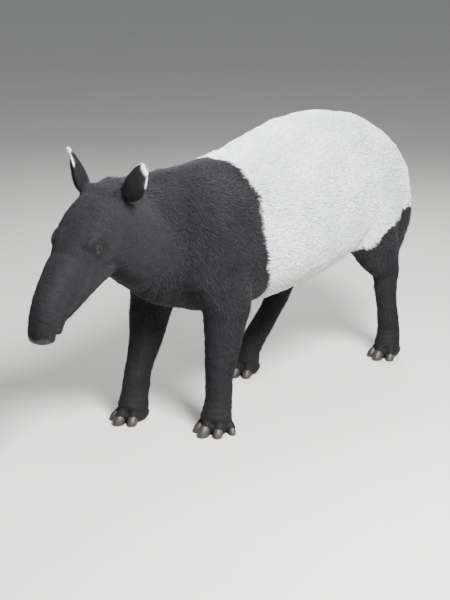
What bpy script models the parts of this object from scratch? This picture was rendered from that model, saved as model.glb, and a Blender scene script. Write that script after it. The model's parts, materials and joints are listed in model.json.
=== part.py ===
# Malayan tapir, life-size, standing in mid-stride with its head lowered.
#
# Metres, +Z up. The head points to -Y, the animal's left side is +X, and the soles stand on z = 0.
# The flesh is built from lofts and ellipsoids that a voxel Remesh fuses into one skin, which is then
# parted into head, neck, torso, legs and feet. Eyes, ears, tail and hooves are set into it.

import math

import bmesh
import bpy
import numpy as np
from mathutils import Matrix, Vector

# Driving sizes of the animal
WITHERS_HEIGHT = 0.93
RUMP_HEIGHT = 1.03
BARREL_HALF_WIDTH = 0.268
HEAD_PITCH = math.radians(32)
HEAD_YAW = math.radians(8)
POLL = Vector((0.006, -0.864, 0.916))
EAR_LENGTH = 0.148
EAR_HALF_WIDTH = 0.042
EAR_THICKNESS = 0.0045
EYE_RADIUS = 0.016
LID_THICKNESS = 0.0032

# Height at which the legs part from the trunk, how steeply that cut rises outwards, and where the feet start
FORE_CUT = 0.425
HIND_CUT = 0.400
LEG_CUT_RISE = 0.70
FOOT_CUT = 0.105

# Planes that part head from neck and neck from torso: a point on each and the way it faces
HEAD_JOINT = Vector((0, -0.772, 0.74))
HEAD_JOINT_WAY = Vector((math.sin(HEAD_YAW / 2), -math.cos(HEAD_YAW / 2), 0.05))
NECK_JOINT = Vector((0, -0.530, 0.72))
NECK_JOINT_WAY = Vector((0, -0.90, 0.42))

# Gap that touching pieces keep, and the reach of a cutter that has no far side
GAP = 0.0003
FAR = 3.0

# Grain of the fused skin in each region, and how many triangles the region keeps
BODY_VOXEL = 0.010
HEAD_VOXEL = 0.0038
FOOT_VOXEL = 0.0042
BODY_TRIANGLES = 4600
HEAD_TRIANGLES = 4200
FOOT_TRIANGLES = 960
TAIL_TRIANGLES = 360
RING_POINTS = 28

# Colours of coat, horn and eye
SADDLE_WHITE = (0.80, 0.80, 0.78)
COAT_BLACK = (0.035, 0.033, 0.038)
HORN_GREY = (0.05, 0.045, 0.04)
EYE_BROWN = (0.03, 0.015, 0.01)

# Where the feet stand: x and y of the middle of each foot
FEET = {
    "front_left": (0.150, -0.480),
    "front_right": (-0.150, -0.590),
    "hind_left": (0.160, 0.598),
    "hind_right": (-0.152, 0.060),
}

# Trunk: y, back line as a share of the rise from withers to rump, underside z, width share
TRUNK_STATIONS = (
    (-0.620, -0.95, 0.530, 0.50),
    (-0.540, -0.35, 0.455, 0.66),
    (-0.430, -0.05, 0.405, 0.79),
    (-0.280, 0.05, 0.388, 0.89),
    (-0.100, 0.34, 0.386, 0.97),
    (0.070, 0.76, 0.392, 1.00),
    (0.230, 1.00, 0.420, 0.99),
    (0.380, 0.95, 0.465, 0.94),
    (0.530, 0.56, 0.518, 0.87),
    (0.668, -0.36, 0.565, 0.73),
    (0.760, -1.42, 0.635, 0.47),
)
TRUNK_WIDEST = 0.47

# Neck: x, y, crest z, underside z, half width
NECK_STATIONS = (
    (0.000, -0.400, 0.928, 0.425, 0.180),
    (0.000, -0.520, 0.926, 0.435, 0.168),
    (0.000, -0.630, 0.926, 0.478, 0.150),
    (0.001, -0.720, 0.926, 0.534, 0.132),
    (0.003, -0.800, 0.924, 0.592, 0.118),
    (0.006, -0.872, 0.908, 0.645, 0.105),
)

# Tail: x, y, z of its middle line, then fore-and-aft and sideways half sizes
TAIL_STATIONS = (
    (0.0, 0.706, 0.850, 0.036, 0.040),
    (0.0, 0.762, 0.818, 0.029, 0.032),
    (0.0, 0.794, 0.776, 0.024, 0.027),
    (0.0, 0.803, 0.730, 0.017, 0.019),
)

# Head, in its own frame: distance forward of the poll, top, underside, half width
SKULL_STATIONS = (
    (-0.060, -0.012, -0.190, 0.082),
    (0.000, 0.002, -0.198, 0.096),
    (0.075, 0.012, -0.196, 0.104),
    (0.145, 0.008, -0.186, 0.101),
    (0.205, -0.007, -0.174, 0.087),
    (0.260, -0.030, -0.166, 0.073),
    (0.310, -0.051, -0.160, 0.063),
    (0.350, -0.070, -0.158, 0.055),
)

# Snout, the drooping proboscis: forward, up, half height, half width of its middle line
SNOUT_STATIONS = (
    (0.270, -0.092, 0.060, 0.066),
    (0.335, -0.103, 0.058, 0.059),
    (0.390, -0.116, 0.053, 0.053),
    (0.438, -0.137, 0.047, 0.048),
    (0.474, -0.163, 0.041, 0.045),
    (0.494, -0.190, 0.036, 0.043),
)

# Lower jaw: forward, top, underside, half width
JAW_STATIONS = (
    (0.030, -0.100, -0.228, 0.070),
    (0.085, -0.110, -0.245, 0.073),
    (0.165, -0.125, -0.240, 0.063),
    (0.255, -0.140, -0.226, 0.053),
    (0.330, -0.152, -0.216, 0.046),
    (0.385, -0.163, -0.211, 0.038),
    (0.412, -0.173, -0.206, 0.028),
)

# Rounded swellings of the head: forward, up, out, then their radii the same way
HEAD_SWELLINGS = (
    (0.070, -0.150, 0.068, 0.082, 0.078, 0.036),
    (0.118, -0.090, 0.084, 0.074, 0.026, 0.020),
    (0.188, -0.046, 0.066, 0.044, 0.024, 0.020),
    (0.002, -0.034, 0.062, 0.038, 0.036, 0.028),
    (0.305, -0.128, 0.043, 0.060, 0.036, 0.024),
)

# Where the lips meet: forward, up, how far out from the middle the groove starts
MOUTH_LINE = (
    (0.490, -0.238, -0.002),
    (0.450, -0.204, -0.002),
    (0.408, -0.181, -0.002),
    (0.385, -0.173, 0.022),
    (0.355, -0.167, 0.038),
    (0.312, -0.161, 0.050),
)
MOUTH_GAP = 0.0026
UPPER_LIP_OUT = (0.036, 0.039, 0.042, 0.046, 0.052)
LOWER_LIP_OUT = (0.012, 0.025, 0.032, 0.040, 0.049)

EYE_PLACE = (0.200, -0.070, 0.0730)
EYE_DIRECTION = (0.30, 0.12, 0.94)
EYE_OPENING = (0.0135, 0.0082)

# Ears: root on the head, then the way each one points and the way its cup faces
# The left ear is turned out and back
EAR_PLACE = (-0.004, -0.034, 0.076)
EAR_AXES = {1: (-0.26, 0.65, 0.71), -1: (-0.22, 0.92, 0.32)}
EAR_FACINGS = {1: (-0.71, -0.60, 0.29), -1: (0.72, 0.22, 0.66)}

NOSTRIL_PLACE = (0.514, -0.187, 0.020)
NOSTRIL_RADII = (0.014, 0.0115, 0.0060)

# Toes and hooves at size 1: half length, half width, half depth, and how far each one leans
TOE_RADII = (0.042, 0.0205, 0.030)
TOE_TILT = math.radians(28)
HOOF_RADII = (0.034, 0.0195, 0.0215)
HOOF_TILT = math.radians(52)
PAD_RADII = (0.060, 0.054, 0.032)


def clear_scene():
    for obj in list(bpy.data.objects):
        bpy.data.objects.remove(obj)


def new_collection(name, hidden=False):
    collection = bpy.data.collections.new(name)
    collection.hide_render = hidden
    bpy.context.scene.collection.children.link(collection)
    return collection


def new_material(name, colour, roughness):
    material = bpy.data.materials.new(name)
    material.use_nodes = True
    shader = material.node_tree.nodes["Principled BSDF"]
    shader.inputs["Base Color"].default_value = (*colour, 1.0)
    shader.inputs["Roughness"].default_value = roughness
    shader.inputs["Metallic"].default_value = 0.0
    return material


def refined(stations, steps=5):
    # Catmull-Rom curve through every column of the stations.
    rows = np.array(stations, float)
    padded = np.vstack([2 * rows[0] - rows[1], rows, 2 * rows[-1] - rows[-2]])
    made = []
    for i in range(1, len(padded) - 2):
        a, b, c, d = padded[i - 1 : i + 3]
        for t in np.arange(steps) / steps:
            bend = (2 * a - 5 * b + 4 * c - d) * t**2 + (3 * b - a - 3 * c + d) * t**3
            made.append(0.5 * (2 * b + (c - a) * t + bend))
    made.append(rows[-1])
    return np.array(made)


def upright_oval(x, y, height, half_width, above, below, squareness):
    return oval((x, y, height), (1, 0, 0), (0, 0, 1), half_width, above, below, squareness)


def oval(centre, side, up, half_width, above, below, squareness=2.2):
    # One closed section: a superellipse that may reach further above its middle than below.
    angle = np.linspace(0, 2 * math.pi, RING_POINTS, endpoint=False)
    across = np.sign(np.cos(angle)) * np.abs(np.cos(angle)) ** (2 / squareness)
    upward = np.sign(np.sin(angle)) * np.abs(np.sin(angle)) ** (2 / squareness)
    upward = upward * np.where(upward > 0, above, below)
    return np.array(centre) + np.outer(across * half_width, side) + np.outer(upward, up)


def mesh_object(name, points, faces, collection):
    mesh = bpy.data.meshes.new(name)
    mesh.from_pydata([tuple(p) for p in points], [], [tuple(f) for f in faces])
    obj = bpy.data.objects.new(name, mesh)
    collection.objects.link(obj)
    return obj


def loft(name, rings, collection, rounding=0.45):
    # Skin over the rings, with domed ends that reach out by a share of the end's size.
    rings = list(rings)
    for end, inner in ((0, 1), (-1, -2)):
        middle = rings[end].mean(axis=0)
        outward = middle - rings[inner].mean(axis=0)
        outward /= np.linalg.norm(outward)
        reach = rounding * np.abs(rings[end] - middle).max()
        domes = [
            middle + outward * reach * math.sin(turn) + (rings[end] - middle) * math.cos(turn)
            for turn in np.radians((30, 55, 75))
        ]
        tip = middle + outward * reach
        if end == 0:
            first_tip, rings = tip, domes[::-1] + rings
        else:
            last_tip, rings = tip, rings + domes
    count = len(rings[0])
    points = np.vstack([*rings, first_tip, last_tip])
    faces = []
    for i in range(len(rings) - 1):
        for j in range(count):
            k = (j + 1) % count
            faces.append((i * count + j, i * count + k, (i + 1) * count + k, (i + 1) * count + j))
    start, stop = len(points) - 2, len(points) - 1
    last = (len(rings) - 1) * count
    faces += [(start, (j + 1) % count, j) for j in range(count)]
    faces += [(stop, last + j, last + (j + 1) % count) for j in range(count)]
    obj = mesh_object(name, points, faces, collection)
    point_outwards(obj.data)
    return obj


def point_outwards(mesh):
    bm = bmesh.new()
    bm.from_mesh(mesh)
    bmesh.ops.recalc_face_normals(bm, faces=bm.faces)
    bm.to_mesh(mesh)
    bm.free()


def ellipsoid(name, centre, axes, radii, collection, segments=20):
    bm = bmesh.new()
    bmesh.ops.create_uvsphere(bm, u_segments=segments, v_segments=segments // 2 + 2, radius=1.0)
    mesh = bpy.data.meshes.new(name)
    bm.to_mesh(mesh)
    bm.free()
    turn = Matrix([Vector(a) for a in axes]).transposed()
    mesh.transform(Matrix.Translation(Vector(centre)) @ (turn @ Matrix.Diagonal(radii)).to_4x4())
    if turn.determinant() < 0:
        mesh.flip_normals()
    obj = bpy.data.objects.new(name, mesh)
    collection.objects.link(obj)
    return obj


def limb(name, stations, collection, squareness=2.1, rounding=0.45):
    # stations: x, y, z of the middle line, then fore-and-aft and sideways half sizes.
    rows = refined(stations)
    middle = rows[:, :3]
    along = np.gradient(middle, axis=0)
    rings = []
    for centre, way, (depth, width) in zip(middle, along, rows[:, 3:5]):
        way = Vector(way).normalized()
        side = (Vector((1, 0, 0)) - way * way.x).normalized()
        fore = way.cross(side)
        rings.append(oval(centre, side, fore, width, depth, depth, squareness))
    return loft(name, rings, collection, rounding)


def head_axes():
    ahead = Vector((math.sin(HEAD_YAW), -math.cos(HEAD_YAW), 0))
    forward = ahead * math.cos(HEAD_PITCH) - Vector((0, 0, math.sin(HEAD_PITCH)))
    up = ahead * math.sin(HEAD_PITCH) + Vector((0, 0, math.cos(HEAD_PITCH)))
    left = Vector((math.cos(HEAD_YAW), math.sin(HEAD_YAW), 0))
    return forward, up, left


def on_head(forward, up, left=0.0):
    axes = head_axes()
    return POLL + axes[0] * forward + axes[1] * up + axes[2] * left


def head_direction(forward, up, left):
    axes = head_axes()
    return (axes[0] * forward + axes[1] * up + axes[2] * left).normalized()


def trunk_mass(collection):
    rings = []
    rise = RUMP_HEIGHT - WITHERS_HEIGHT
    for y, back, belly, width in refined(TRUNK_STATIONS):
        top = WITHERS_HEIGHT + back * rise
        widest = belly + TRUNK_WIDEST * (top - belly)
        half_width = width * BARREL_HALF_WIDTH
        rings.append(upright_oval(0, y, widest, half_width, top - widest, widest - belly, 2.15))
    return loft("trunk_mass", rings, collection, rounding=0.35)


def neck_mass(collection):
    rings = []
    for x, y, crest, throat, half_width in refined(NECK_STATIONS):
        widest = throat + 0.45 * (crest - throat)
        rings.append(upright_oval(x, y, widest, half_width, crest - widest, widest - throat, 2.0))
    return loft("neck_mass", rings, collection, rounding=0.2)


def front_leg_masses(side, foot, collection):
    x, y = FEET[foot]
    # How far forward of the standing place under the shoulder the foot is set
    reach = y + 0.48
    shoulder = (
        (side * 0.070, -0.285, 0.815, 0.100, 0.040),
        (side * 0.112, -0.370, 0.745, 0.145, 0.068),
        (side * 0.136, -0.465, 0.640, 0.140, 0.080),
        (side * 0.150, -0.475, 0.560, 0.128, 0.076),
    )
    leg = (
        (side * 0.158, -0.455 + 0.10 * reach, 0.560, 0.118, 0.078),
        (side * 0.159, -0.428 + 0.22 * reach, 0.460, 0.104, 0.073),
        (side * 0.156, -0.435 + 0.42 * reach, 0.370, 0.084, 0.066),
        (side * 0.152, -0.445 + 0.62 * reach, 0.270, 0.066, 0.058),
        (x, y + 0.022 - 0.12 * reach, 0.180, 0.052, 0.048),
        (x, y + 0.018 - 0.02 * reach, 0.105, 0.053, 0.049),
        (x, y + 0.006, 0.050, 0.059, 0.055),
    )
    limb(f"shoulder_{foot}", shoulder, collection)
    limb(f"limb_{foot}", leg, collection)


def hind_leg_masses(side, foot, collection):
    x, y = FEET[foot]
    # Share of a long step that the foot is forward of where it stands under the hip
    stride = (0.42 - y) / 0.36
    stifle = 0.345 - 0.150 * stride
    hock = 0.488 - 0.172 * stride
    thigh = (
        (side * 0.105, 0.420, 0.860, 0.155, 0.085),
        (side * 0.135, 0.425, 0.750, 0.190, 0.105),
        (side * 0.155, stifle + 0.060 + 0.03 * stride, 0.630, 0.168, 0.096),
        (side * 0.162, stifle + 0.055 + 0.02 * stride, 0.530, 0.120, 0.078),
    )
    shank = (
        (side * 0.160, stifle + 0.050 + 0.02 * stride, 0.560, 0.140, 0.088),
        (side * 0.161, 0.5 * (stifle + hock) + 0.020, 0.460, 0.102, 0.070),
        (side * 0.159, hock + 0.003, 0.375, 0.070, 0.054),
        (side * 0.157, hock - 0.001 - 0.02 * stride, 0.310, 0.060, 0.047),
        (0.5 * (x + side * 0.156), 0.5 * (hock + y + 0.03), 0.205, 0.050, 0.043),
        (x, y + 0.022 + 0.015 * stride, 0.110, 0.050, 0.045),
        (x, y + 0.006, 0.050, 0.057, 0.051),
    )
    buttock = (
        (side * 0.072, 0.606, 0.830, 0.076, 0.064),
        (side * 0.114, 0.632 - 0.02 * stride, 0.710, 0.090, 0.078),
        (side * 0.143, 0.600 - 0.07 * stride, 0.590, 0.092, 0.070),
        (side * 0.156, hock + 0.016, 0.440, 0.052, 0.042),
    )
    heel = (
        (side * 0.157, hock + 0.042, 0.430, 0.022, 0.019),
        (side * 0.157, hock + 0.057, 0.374, 0.024, 0.021),
        (side * 0.156, hock + 0.034, 0.320, 0.022, 0.019),
    )
    limb(f"thigh_{foot}", thigh, collection)
    limb(f"limb_{foot}", shank, collection)
    limb(f"buttock_{foot}", buttock, collection)
    limb(f"heel_{foot}", heel, collection)


def toes_of(foot):
    # Each toe: out from the middle of the foot, forward of it, turn outwards in degrees, size.
    side = 1 if foot.endswith("left") else -1
    inner = (-0.036, 0.026, -17, 0.92)
    middle = (0.002, 0.046, 2, 1.08)
    outer = (0.041, 0.024, 21, 0.92)
    small = (0.058, -0.022, 52, 0.70)
    toes = (inner, middle, outer, small) if foot.startswith("front") else (inner, middle, outer)
    made = []
    for out, ahead, turn, size in toes:
        x, y = FEET[foot]
        heading = math.radians(turn) * side
        way = Vector((math.sin(heading), -math.cos(heading), 0))
        place = Vector((x + side * out, y - ahead, 0.0))
        made.append((place, way, size))
    return made


def toe_axes(way, tilt):
    # Forward, sideways and up of a toe whose front leans back by the tilt.
    side = way.cross(Vector((0, 0, 1))).normalized()
    fore = (way * math.cos(tilt) - Vector((0, 0, math.sin(tilt)))).normalized()
    return fore, side, side.cross(fore)


def foot_masses(foot, collection):
    x, y = FEET[foot]
    for number, (place, way, size) in enumerate(toes_of(foot)):
        centre = place - way * 0.010 + Vector((0, 0, 0.026 * size))
        radii = [r * size for r in TOE_RADII]
        ellipsoid(f"toe_{foot}_{number}", centre, toe_axes(way, TOE_TILT), radii, collection)
    upright = ((0, -1, 0), (1, 0, 0), (0, 0, 1))
    ellipsoid(f"pad_{foot}", (x, y + 0.010, 0.024), upright, PAD_RADII, collection)


def head_masses(collection):
    forward, up, left = head_axes()
    rings = []
    for along, top, bottom, half_width in refined(SKULL_STATIONS):
        widest = bottom + 0.52 * (top - bottom)
        centre = on_head(along, widest)
        rings.append(oval(centre, left, up, half_width, top - widest, widest - bottom, 2.15))
    loft("skull", rings, collection, rounding=0.3)

    rings = []
    for along, top, bottom, half_width in refined(JAW_STATIONS):
        middle = 0.5 * (top + bottom)
        rings.append(oval(on_head(along, middle), left, up, half_width, top - middle, middle - bottom, 2.1))
    loft("jaw", rings, collection, rounding=0.45)

    rows = refined(SNOUT_STATIONS)
    way = np.gradient(rows[:, :2], axis=0)
    rings = []
    for (along, height, half_height, half_width), (ds, du) in zip(rows, way):
        across = (head_direction(ds, du, 0)).cross(left)
        across = -across if across.dot(up) < 0 else across
        rings.append(oval(on_head(along, height), left, across, half_width, half_height, half_height, 2.3))
    loft("proboscis", rings, collection, rounding=0.35)

    for number, (along, height, out, *radii) in enumerate(HEAD_SWELLINGS):
        for side in (1, -1):
            centre = on_head(along, height, side * out)
            ellipsoid(f"swelling_{number}_{side}", centre, (forward, up, left), radii, collection)

    for side in (1, -1):
        lip_masses(side, collection)
        along, height, out = EYE_PLACE
        centre = on_head(along, height, side * out)
        ellipsoid(f"lid_{side}", centre, (forward, up, left), (EYE_RADIUS + LID_THICKNESS,) * 3, collection)


def lip_masses(side, collection):
    line = MOUTH_LINE[1:]
    upper = [(s, u + 0.009, out) for (s, u, inner), out in zip(line, UPPER_LIP_OUT)]
    lower = [(s - 0.010, u - 0.009, out) for (s, u, inner), out in zip(line, LOWER_LIP_OUT)]
    for name, places, size in (("upper_lip", upper, 0.0095), ("lower_lip", lower[1:], 0.0088)):
        stations = [(*on_head(s, u, side * out), size, size) for s, u, out in places]
        limb(f"{name}_{side}", stations, collection, squareness=2.0, rounding=0.9)


def evaluated_copy(obj, name, collection):
    graph = bpy.context.evaluated_depsgraph_get()
    mesh = bpy.data.meshes.new_from_object(obj.evaluated_get(graph))
    mesh.name = name
    copy = bpy.data.objects.new(name, mesh)
    copy.matrix_world = obj.matrix_world.copy()
    collection.objects.link(copy)
    return copy


def joined(name, sources, collection):
    bm = bmesh.new()
    for obj in sources:
        bm.from_mesh(obj.data)
    mesh = bpy.data.meshes.new(name)
    bm.to_mesh(mesh)
    bm.free()
    obj = bpy.data.objects.new(name, mesh)
    collection.objects.link(obj)
    return obj


def fused_skin(name, sources, voxel, smoothing, triangles, collection):
    # One skin round all the masses, smoothed, then thinned to about that many triangles.
    lump = joined(f"{name}_lump", sources, collection)
    remesh = lump.modifiers.new("Remesh", "REMESH")
    remesh.mode = "VOXEL"
    remesh.voxel_size = voxel
    smooth = lump.modifiers.new("Smooth", "SMOOTH")
    smooth.factor = 0.5
    smooth.iterations = smoothing
    dense = evaluated_copy(lump, f"{name}_dense", collection)
    bpy.data.objects.remove(lump)
    count = 2 * len(dense.data.polygons)
    if triangles < count:
        thin = dense.modifiers.new("Decimate", "DECIMATE")
        thin.ratio = triangles / count
    skin = evaluated_copy(dense, name, collection)
    bpy.data.objects.remove(dense)
    keep_largest(skin.data)
    return skin


def keep_largest(mesh):
    bm = bmesh.new()
    bm.from_mesh(mesh)
    bm.verts.ensure_lookup_table()
    seen, groups = set(), []
    for start in bm.verts:
        if start in seen:
            continue
        group, queue = [], [start]
        seen.add(start)
        while queue:
            vert = queue.pop()
            group.append(vert)
            for edge in vert.link_edges:
                other = edge.other_vert(vert)
                if other not in seen:
                    seen.add(other)
                    queue.append(other)
        groups.append(group)
    groups.sort(key=len, reverse=True)
    for group in groups[1:]:
        bmesh.ops.delete(bm, geom=group, context="VERTS")
    bm.to_mesh(mesh)
    bm.free()


def cut(obj, cutter, operation, solver="MANIFOLD"):
    # Applies one Boolean and keeps the result in place of the object's mesh.
    boolean = obj.modifiers.new("Boolean", "BOOLEAN")
    boolean.operation = operation
    boolean.solver = solver
    boolean.object = cutter
    graph = bpy.context.evaluated_depsgraph_get()
    mesh = bpy.data.meshes.new_from_object(obj.evaluated_get(graph))
    obj.modifiers.remove(boolean)
    old = obj.data
    mesh.name = old.name
    obj.data = mesh
    bpy.data.meshes.remove(old)
    return obj


def copy_of(obj, name, collection):
    copy = bpy.data.objects.new(name, obj.data.copy())
    collection.objects.link(copy)
    return copy


def block(name, origin, axes, low, high, collection):
    # A box in the given axes, from the low to the high corner.
    bm = bmesh.new()
    bmesh.ops.create_cube(bm, size=1.0)
    mesh = bpy.data.meshes.new(name)
    bm.to_mesh(mesh)
    bm.free()
    low, high = Vector(low), Vector(high)
    turn = Matrix([Vector(a) for a in axes]).transposed().to_4x4()
    place = Matrix.Translation((low + high) / 2) @ Matrix.Diagonal(high - low).to_4x4()
    mesh.transform(Matrix.Translation(Vector(origin)) @ turn @ place)
    if turn.determinant() < 0:
        mesh.flip_normals()
    obj = bpy.data.objects.new(name, mesh)
    collection.objects.link(obj)
    return obj


def half_space(name, point, normal, collection, behind=0.0):
    # Everything ahead of the plane, which is moved along its normal by behind.
    normal = Vector(normal).normalized()
    side = normal.cross(Vector((0, 0, 1)) if abs(normal.z) < 0.9 else Vector((1, 0, 0))).normalized()
    axes = (side, normal, side.cross(normal))
    return block(name, point, axes, (-FAR, behind, -FAR), (FAR, FAR, FAR), collection)


def leg_region(name, side, hind, margin, collection):
    # The room below a plane that rises outwards, which holds one leg and none of the belly.
    near, far = (-0.20, 0.85) if hind else (-0.85, -0.24)
    height = HIND_CUT if hind else FORE_CUT
    points = []
    for y in (near - margin, far + margin):
        for out in (0.012 - margin, 0.50):
            points.append((side * out, y, -0.50))
            points.append((side * out, y, height + margin + (out - 0.15) * LEG_CUT_RISE))
    faces = ((0, 1, 3, 2), (4, 6, 7, 5), (0, 4, 5, 1), (2, 3, 7, 6), (1, 5, 7, 3), (0, 2, 6, 4))
    obj = mesh_object(name, points, faces, collection)
    point_outwards(obj.data)
    return obj


def split(obj, ahead_name, point, normal, tools):
    # Parts an object at a plane: what lies ahead becomes a new object, with the gap between.
    normal = Vector(normal).normalized()
    front = copy_of(obj, ahead_name, obj.users_collection[0])
    keep = half_space("keep", point, normal, tools, behind=GAP / 2)
    cut(front, keep, "INTERSECT")
    drop = half_space("drop", point, normal, tools, behind=-GAP / 2)
    cut(obj, drop, "DIFFERENCE")
    bpy.data.objects.remove(keep)
    bpy.data.objects.remove(drop)
    return front


def grown(obj, distance, tools):
    # A copy whose surface stands out by the distance.
    copy = copy_of(obj, obj.name + "_grown", tools)
    displace = copy.modifiers.new("Displace", "DISPLACE")
    displace.strength = distance
    displace.mid_level = 0.0
    made = evaluated_copy(copy, obj.name + "_cutter", tools)
    bpy.data.objects.remove(copy)
    return made


def eye_opening(side, tools):
    # Almond-shaped prism that opens the lids over the ball.
    forward, up, left = head_axes()
    centre = on_head(EYE_PLACE[0], EYE_PLACE[1], side * EYE_PLACE[2])
    look = head_direction(EYE_DIRECTION[0], EYE_DIRECTION[1], side * EYE_DIRECTION[2])
    along = (forward - look * forward.dot(look)).normalized()
    rise = look.cross(along)
    rise = -rise if rise.dot(up) < 0 else rise
    half_length, half_height = EYE_OPENING
    rings = []
    for depth in (0.004, 0.040):
        ring = []
        for angle in np.linspace(0, 2 * math.pi, 16, endpoint=False):
            lift = half_height * math.sin(angle) * abs(math.sin(angle)) ** 0.3
            ring.append(centre + look * depth + along * half_length * math.cos(angle) + rise * lift)
        rings.append(np.array(ring))
    count = len(rings[0])
    points = np.vstack(rings)
    faces = [(j, (j + 1) % count, count + (j + 1) % count, count + j) for j in range(count)]
    faces += [tuple(range(count)), tuple(range(count, 2 * count))]
    obj = mesh_object(f"eye_opening_{side}", points, faces, tools)
    point_outwards(obj.data)
    return obj


def mouth_groove(side, tools):
    # Thin slab where the lips meet: a groove along the cheek that runs in under the proboscis.
    left = head_axes()[2]
    rings = []
    for s, u, inner in refined(MOUTH_LINE, steps=3):
        corners = ((inner, 0.5), (inner, -0.5), (0.09, -0.5), (0.09, 0.5))
        rings.append(np.array([on_head(s, u + lift * MOUTH_GAP, side * out) for out, lift in corners]))
    count = len(rings[0])
    points = np.vstack(rings)
    faces = []
    for i in range(len(rings) - 1):
        for j in range(count):
            k = (j + 1) % count
            faces.append((i * count + j, i * count + k, (i + 1) * count + k, (i + 1) * count + j))
    last = len(points) - count
    faces += [tuple(range(count)), tuple(range(last, last + count))]
    obj = mesh_object(f"mouth_groove_{side}", points, faces, tools)
    point_outwards(obj.data)
    return obj


def nostril_pit(side, tools):
    way = head_direction(0.62, -0.70, side * 0.36)
    across = head_direction(0.75, 0.62, -side * 0.10)
    across = (across - way * across.dot(way)).normalized()
    along, height, out = NOSTRIL_PLACE
    centre = on_head(along, height, side * out)
    axes = (way, across, way.cross(across))
    return ellipsoid(f"nostril_{side}", centre, axes, NOSTRIL_RADII, tools, segments=14)


def ear_frame(side):
    # Root of the ear, then the ways it points, faces and spreads.
    forward, up, out = EAR_AXES[side]
    axis = head_direction(forward, up, side * out)
    forward, up, out = EAR_FACINGS[side]
    facing = head_direction(forward, up, side * out)
    facing = (facing - axis * facing.dot(axis)).normalized()
    return on_head(EAR_PLACE[0], EAR_PLACE[1], side * EAR_PLACE[2]), axis, facing, axis.cross(facing)


def ear_sheet(side, collection):
    # Open cup of the ear, narrow and rolled at its root, flat and round at its tip.
    root, axis, facing, across = ear_frame(side)
    rows, columns = 11, 9
    points = []
    for i in range(rows):
        v = i / (rows - 1)
        height = EAR_LENGTH * (0.04 + 0.96 * math.sin(v * math.pi / 2) ** 1.15)
        share = height / EAR_LENGTH
        if share > 0.55:
            width = math.sqrt(max(0.0, 1 - ((share - 0.55) / 0.46) ** 2))
        else:
            width = 0.56 + 0.44 * math.sin(math.pi / 2 * share / 0.55)
        half_width = EAR_HALF_WIDTH * width
        open_angle = math.radians(128 - 80 * min(1.0, share * 1.15))
        radius = half_width / (math.sin(open_angle) if open_angle < math.pi / 2 else 1.0)
        back = 0.016 + 0.010 * math.sin(math.pi * share)
        for j in range(columns):
            turn = open_angle * (2 * j / (columns - 1) - 1)
            points.append(
                root
                + axis * height
                - facing * back
                + facing * radius * (1 - math.cos(turn))
                + across * radius * math.sin(turn)
            )
    faces = []
    for i in range(rows - 1):
        for j in range(columns - 1):
            a = i * columns + j
            faces.append((a, a + 1, a + columns + 1, a + columns))
    obj = mesh_object(f"ear_sheet_{side}", points, faces, collection)
    solid = obj.modifiers.new("Solidify", "SOLIDIFY")
    solid.thickness = EAR_THICKNESS
    solid.offset = 0.0
    sheet = evaluated_copy(obj, f"ear_shell_{side}", collection)
    bpy.data.objects.remove(obj)
    point_outwards(sheet.data)
    return sheet


def build_ear(side, head, parts, tools):
    name = "ear_left" if side > 0 else "ear_right"
    shell = ear_sheet(side, tools)
    root, axis, facing, across = ear_frame(side)
    bulb = ellipsoid(name, root, (axis, facing, across), (0.024, 0.026, 0.026), parts, segments=12)
    cut(bulb, shell, "UNION")
    cutter = grown(head, GAP, tools)
    cut(bulb, cutter, "DIFFERENCE")
    keep_largest(bulb.data)
    bpy.data.objects.remove(cutter)
    bpy.data.objects.remove(shell)
    return bulb


def build_eye(side, head, parts, tools):
    # The ball, the socket that holds it and the opening between the lids.
    name = "eye_left" if side > 0 else "eye_right"
    centre = on_head(EYE_PLACE[0], EYE_PLACE[1], side * EYE_PLACE[2])
    axes = head_axes()
    ball = ellipsoid(name, centre, axes, (EYE_RADIUS,) * 3, parts, segments=16)
    socket = ellipsoid("socket", centre, axes, (EYE_RADIUS + GAP,) * 3, tools, segments=16)
    opening = eye_opening(side, tools)
    cut(head, opening, "DIFFERENCE")
    cut(head, socket, "DIFFERENCE")
    bpy.data.objects.remove(socket)
    bpy.data.objects.remove(opening)
    return ball


def build_tail(torso, parts, tools):
    tail = limb("tail_mass", TAIL_STATIONS, tools, rounding=0.9)
    skin = fused_skin("tail", [tail], FOOT_VOXEL, 2, TAIL_TRIANGLES, parts)
    bpy.data.objects.remove(tail)
    cutter = grown(torso, GAP, tools)
    cut(skin, cutter, "DIFFERENCE")
    keep_largest(skin.data)
    bpy.data.objects.remove(cutter)
    return skin


def build_hooves(foot, flesh, parts, tools):
    # Each hoof caps the front of its toe; the flesh is cut back to fit behind it.
    ground = half_space("ground", (0, 0, 0), (0, 0, -1), tools)
    made = []
    for number, (place, way, size) in enumerate(toes_of(foot), start=1):
        fore, side, rise = toe_axes(way, HOOF_TILT)
        centre = place + way * 0.014 * size + Vector((0, 0, 0.012 * size))
        radii = [r * size for r in HOOF_RADII]
        hoof = ellipsoid(f"hoof_{foot}_{number}", centre, (fore, side, rise), radii, parts, segments=10)
        cut(hoof, ground, "DIFFERENCE")
        larger = [r + GAP for r in radii]
        nest = ellipsoid("nest", centre, (fore, side, rise), larger, tools, segments=10)
        cut(flesh, nest, "DIFFERENCE")
        bpy.data.objects.remove(nest)
        made.append(hoof)
    bpy.data.objects.remove(ground)
    return made


def centre_on_origin(parts):
    # The origin goes under the middle of the animal's bounding box, at the level of the soles.
    corners = np.array([v.co for obj in parts.objects for v in obj.data.vertices])
    middle = (corners.min(axis=0) + corners.max(axis=0)) / 2
    for obj in parts.objects:
        obj.data.transform(Matrix.Translation((-middle[0], -middle[1], 0)))


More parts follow.
